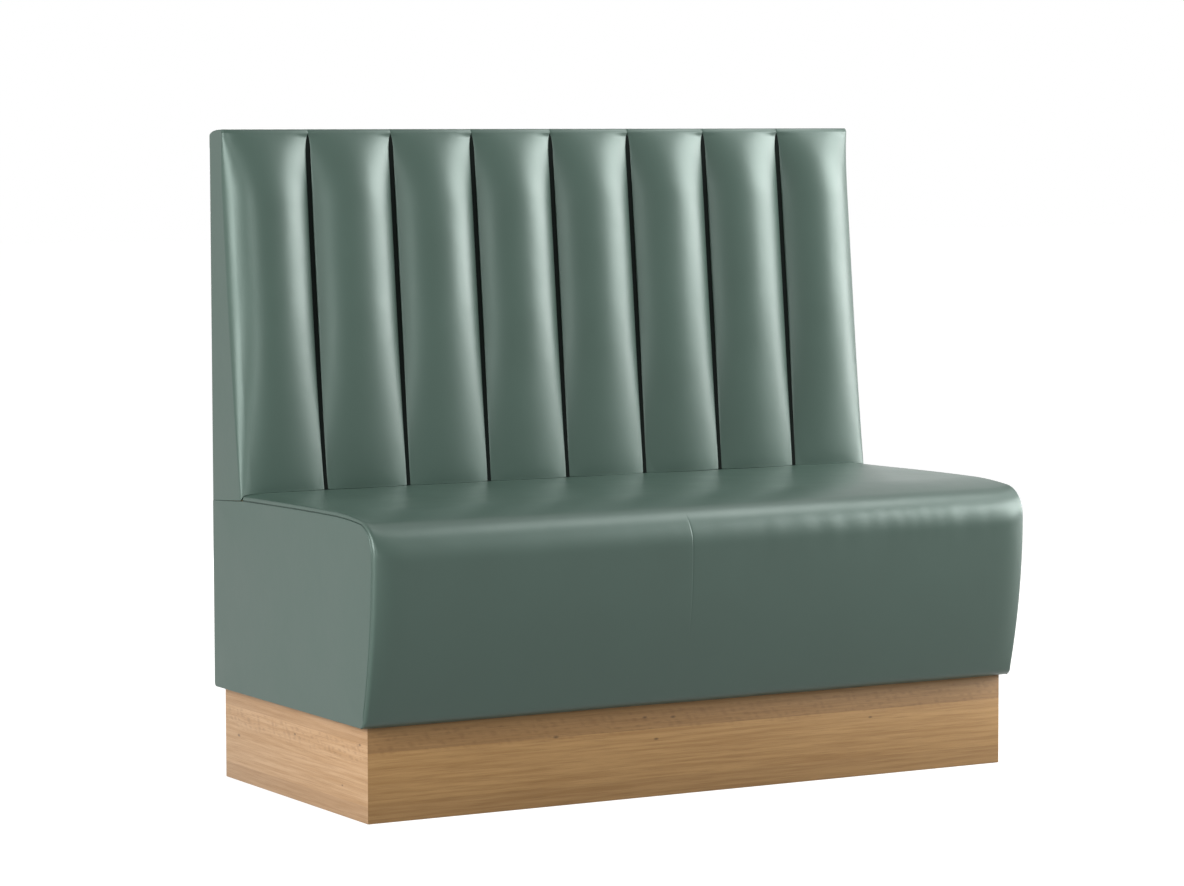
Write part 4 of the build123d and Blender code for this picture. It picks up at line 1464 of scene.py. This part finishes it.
def softbox(name, azimuth, elevation, size, power):
    """An area light round the bench. Azimuth 0 is in front, 90 on the right."""
    data = bpy.data.lights.new(name, "AREA")
    data.shape = "RECTANGLE"
    data.size, data.size_y = size
    data.energy = power
    lamp = new_object(name, data)
    a, e = math.radians(azimuth), math.radians(elevation)
    away = Vector((math.sin(a) * math.cos(e), -math.cos(a) * math.cos(e), math.sin(e)))
    lamp.location = lamp_target + away * lamp_distance
    lamp.rotation_euler = (-away).to_track_quat("-Z", "Y").to_euler()
    print(name, power, "W")


softbox("key_softbox", 64, 24, (1.5, 1.8), 122)
softbox("right_softbox", 84, 8, (1.3, 1.6), 62)
softbox("left_softbox", -80, 14, (1.7, 1.9), 110)
softbox("left_front_softbox", -36, 10, (0.5, 1.6), 22)
softbox("overhead_softbox", 82, 56, (1.3, 0.9), 32)
softbox("rear_softbox", 160, 14, (1.8, 1.8), 70)

# %% [markdown]
# ## Floor and background
# The floor is pale. The background is white only for the rays that the camera, a gloss or a glass sends out,
# so that it lights nothing, and the floor keeps the shadow.

# %% Floor and background
world_level = 0.02
floor_half = 30
floor_glow = 0.86
glow_near = 0.9
glow_far = 3.2


def seen_directly(add):
    """1 for rays from the camera, a gloss or a glass, and 0 for the rest."""
    path = add("LightPath").outputs
    direct = add("Math", {0: path["Is Camera Ray"], 1: path["Is Glossy Ray"]}, operation="MAXIMUM")
    return add("Math", {0: direct, 1: path["Is Transmission Ray"]}, operation="MAXIMUM")


def make_world():
    world = bpy.data.worlds.new("studio")
    bpy.context.scene.world = world
    world.use_nodes = True
    world.node_tree.nodes.clear()
    add = partial(add_node, world.node_tree)
    dim = add("Background", {"Color": (1, 1, 1, 1), "Strength": world_level})
    white = add("Background", {"Color": (1, 1, 1, 1), "Strength": 1.0})
    sky = add("MixShader", {0: seen_directly(add), 1: dim, 2: white})
    add("OutputWorld", {"Surface": sky})


def make_floor():
    mesh = bpy.data.meshes.new("floor")
    corners = [(x * floor_half, y * floor_half, 0) for x, y in ((-1, -1), (1, -1), (1, 1), (-1, 1))]
    mesh.from_pydata(corners, [], [(0, 1, 2, 3)])
    floor = new_object("floor", mesh)
    material, add, shader, place = new_material("white_painted_floor")
    reach = add("VectorMath", {0: place}, operation="LENGTH")
    paler = {"Value": reach, "From Min": glow_near, "From Max": glow_far, "To Min": floor_glow}
    glow = {0: seen_directly(add), 1: add("MapRange", paler)}
    feed(
        shader,
        {
            "Base Color": colour("#8E8E8C"),
            "Roughness": 0.9,
            "Specular IOR Level": 0.0,
            "Emission Color": (1, 1, 1, 1),
            "Emission Strength": add("Math", glow, operation="MULTIPLY"),
        },
    )
    mesh.materials.append(material)
    print("floor", 2 * floor_half, "m wide")


make_world()
make_floor()
bpy.context.scene.view_settings.view_transform = "Standard"
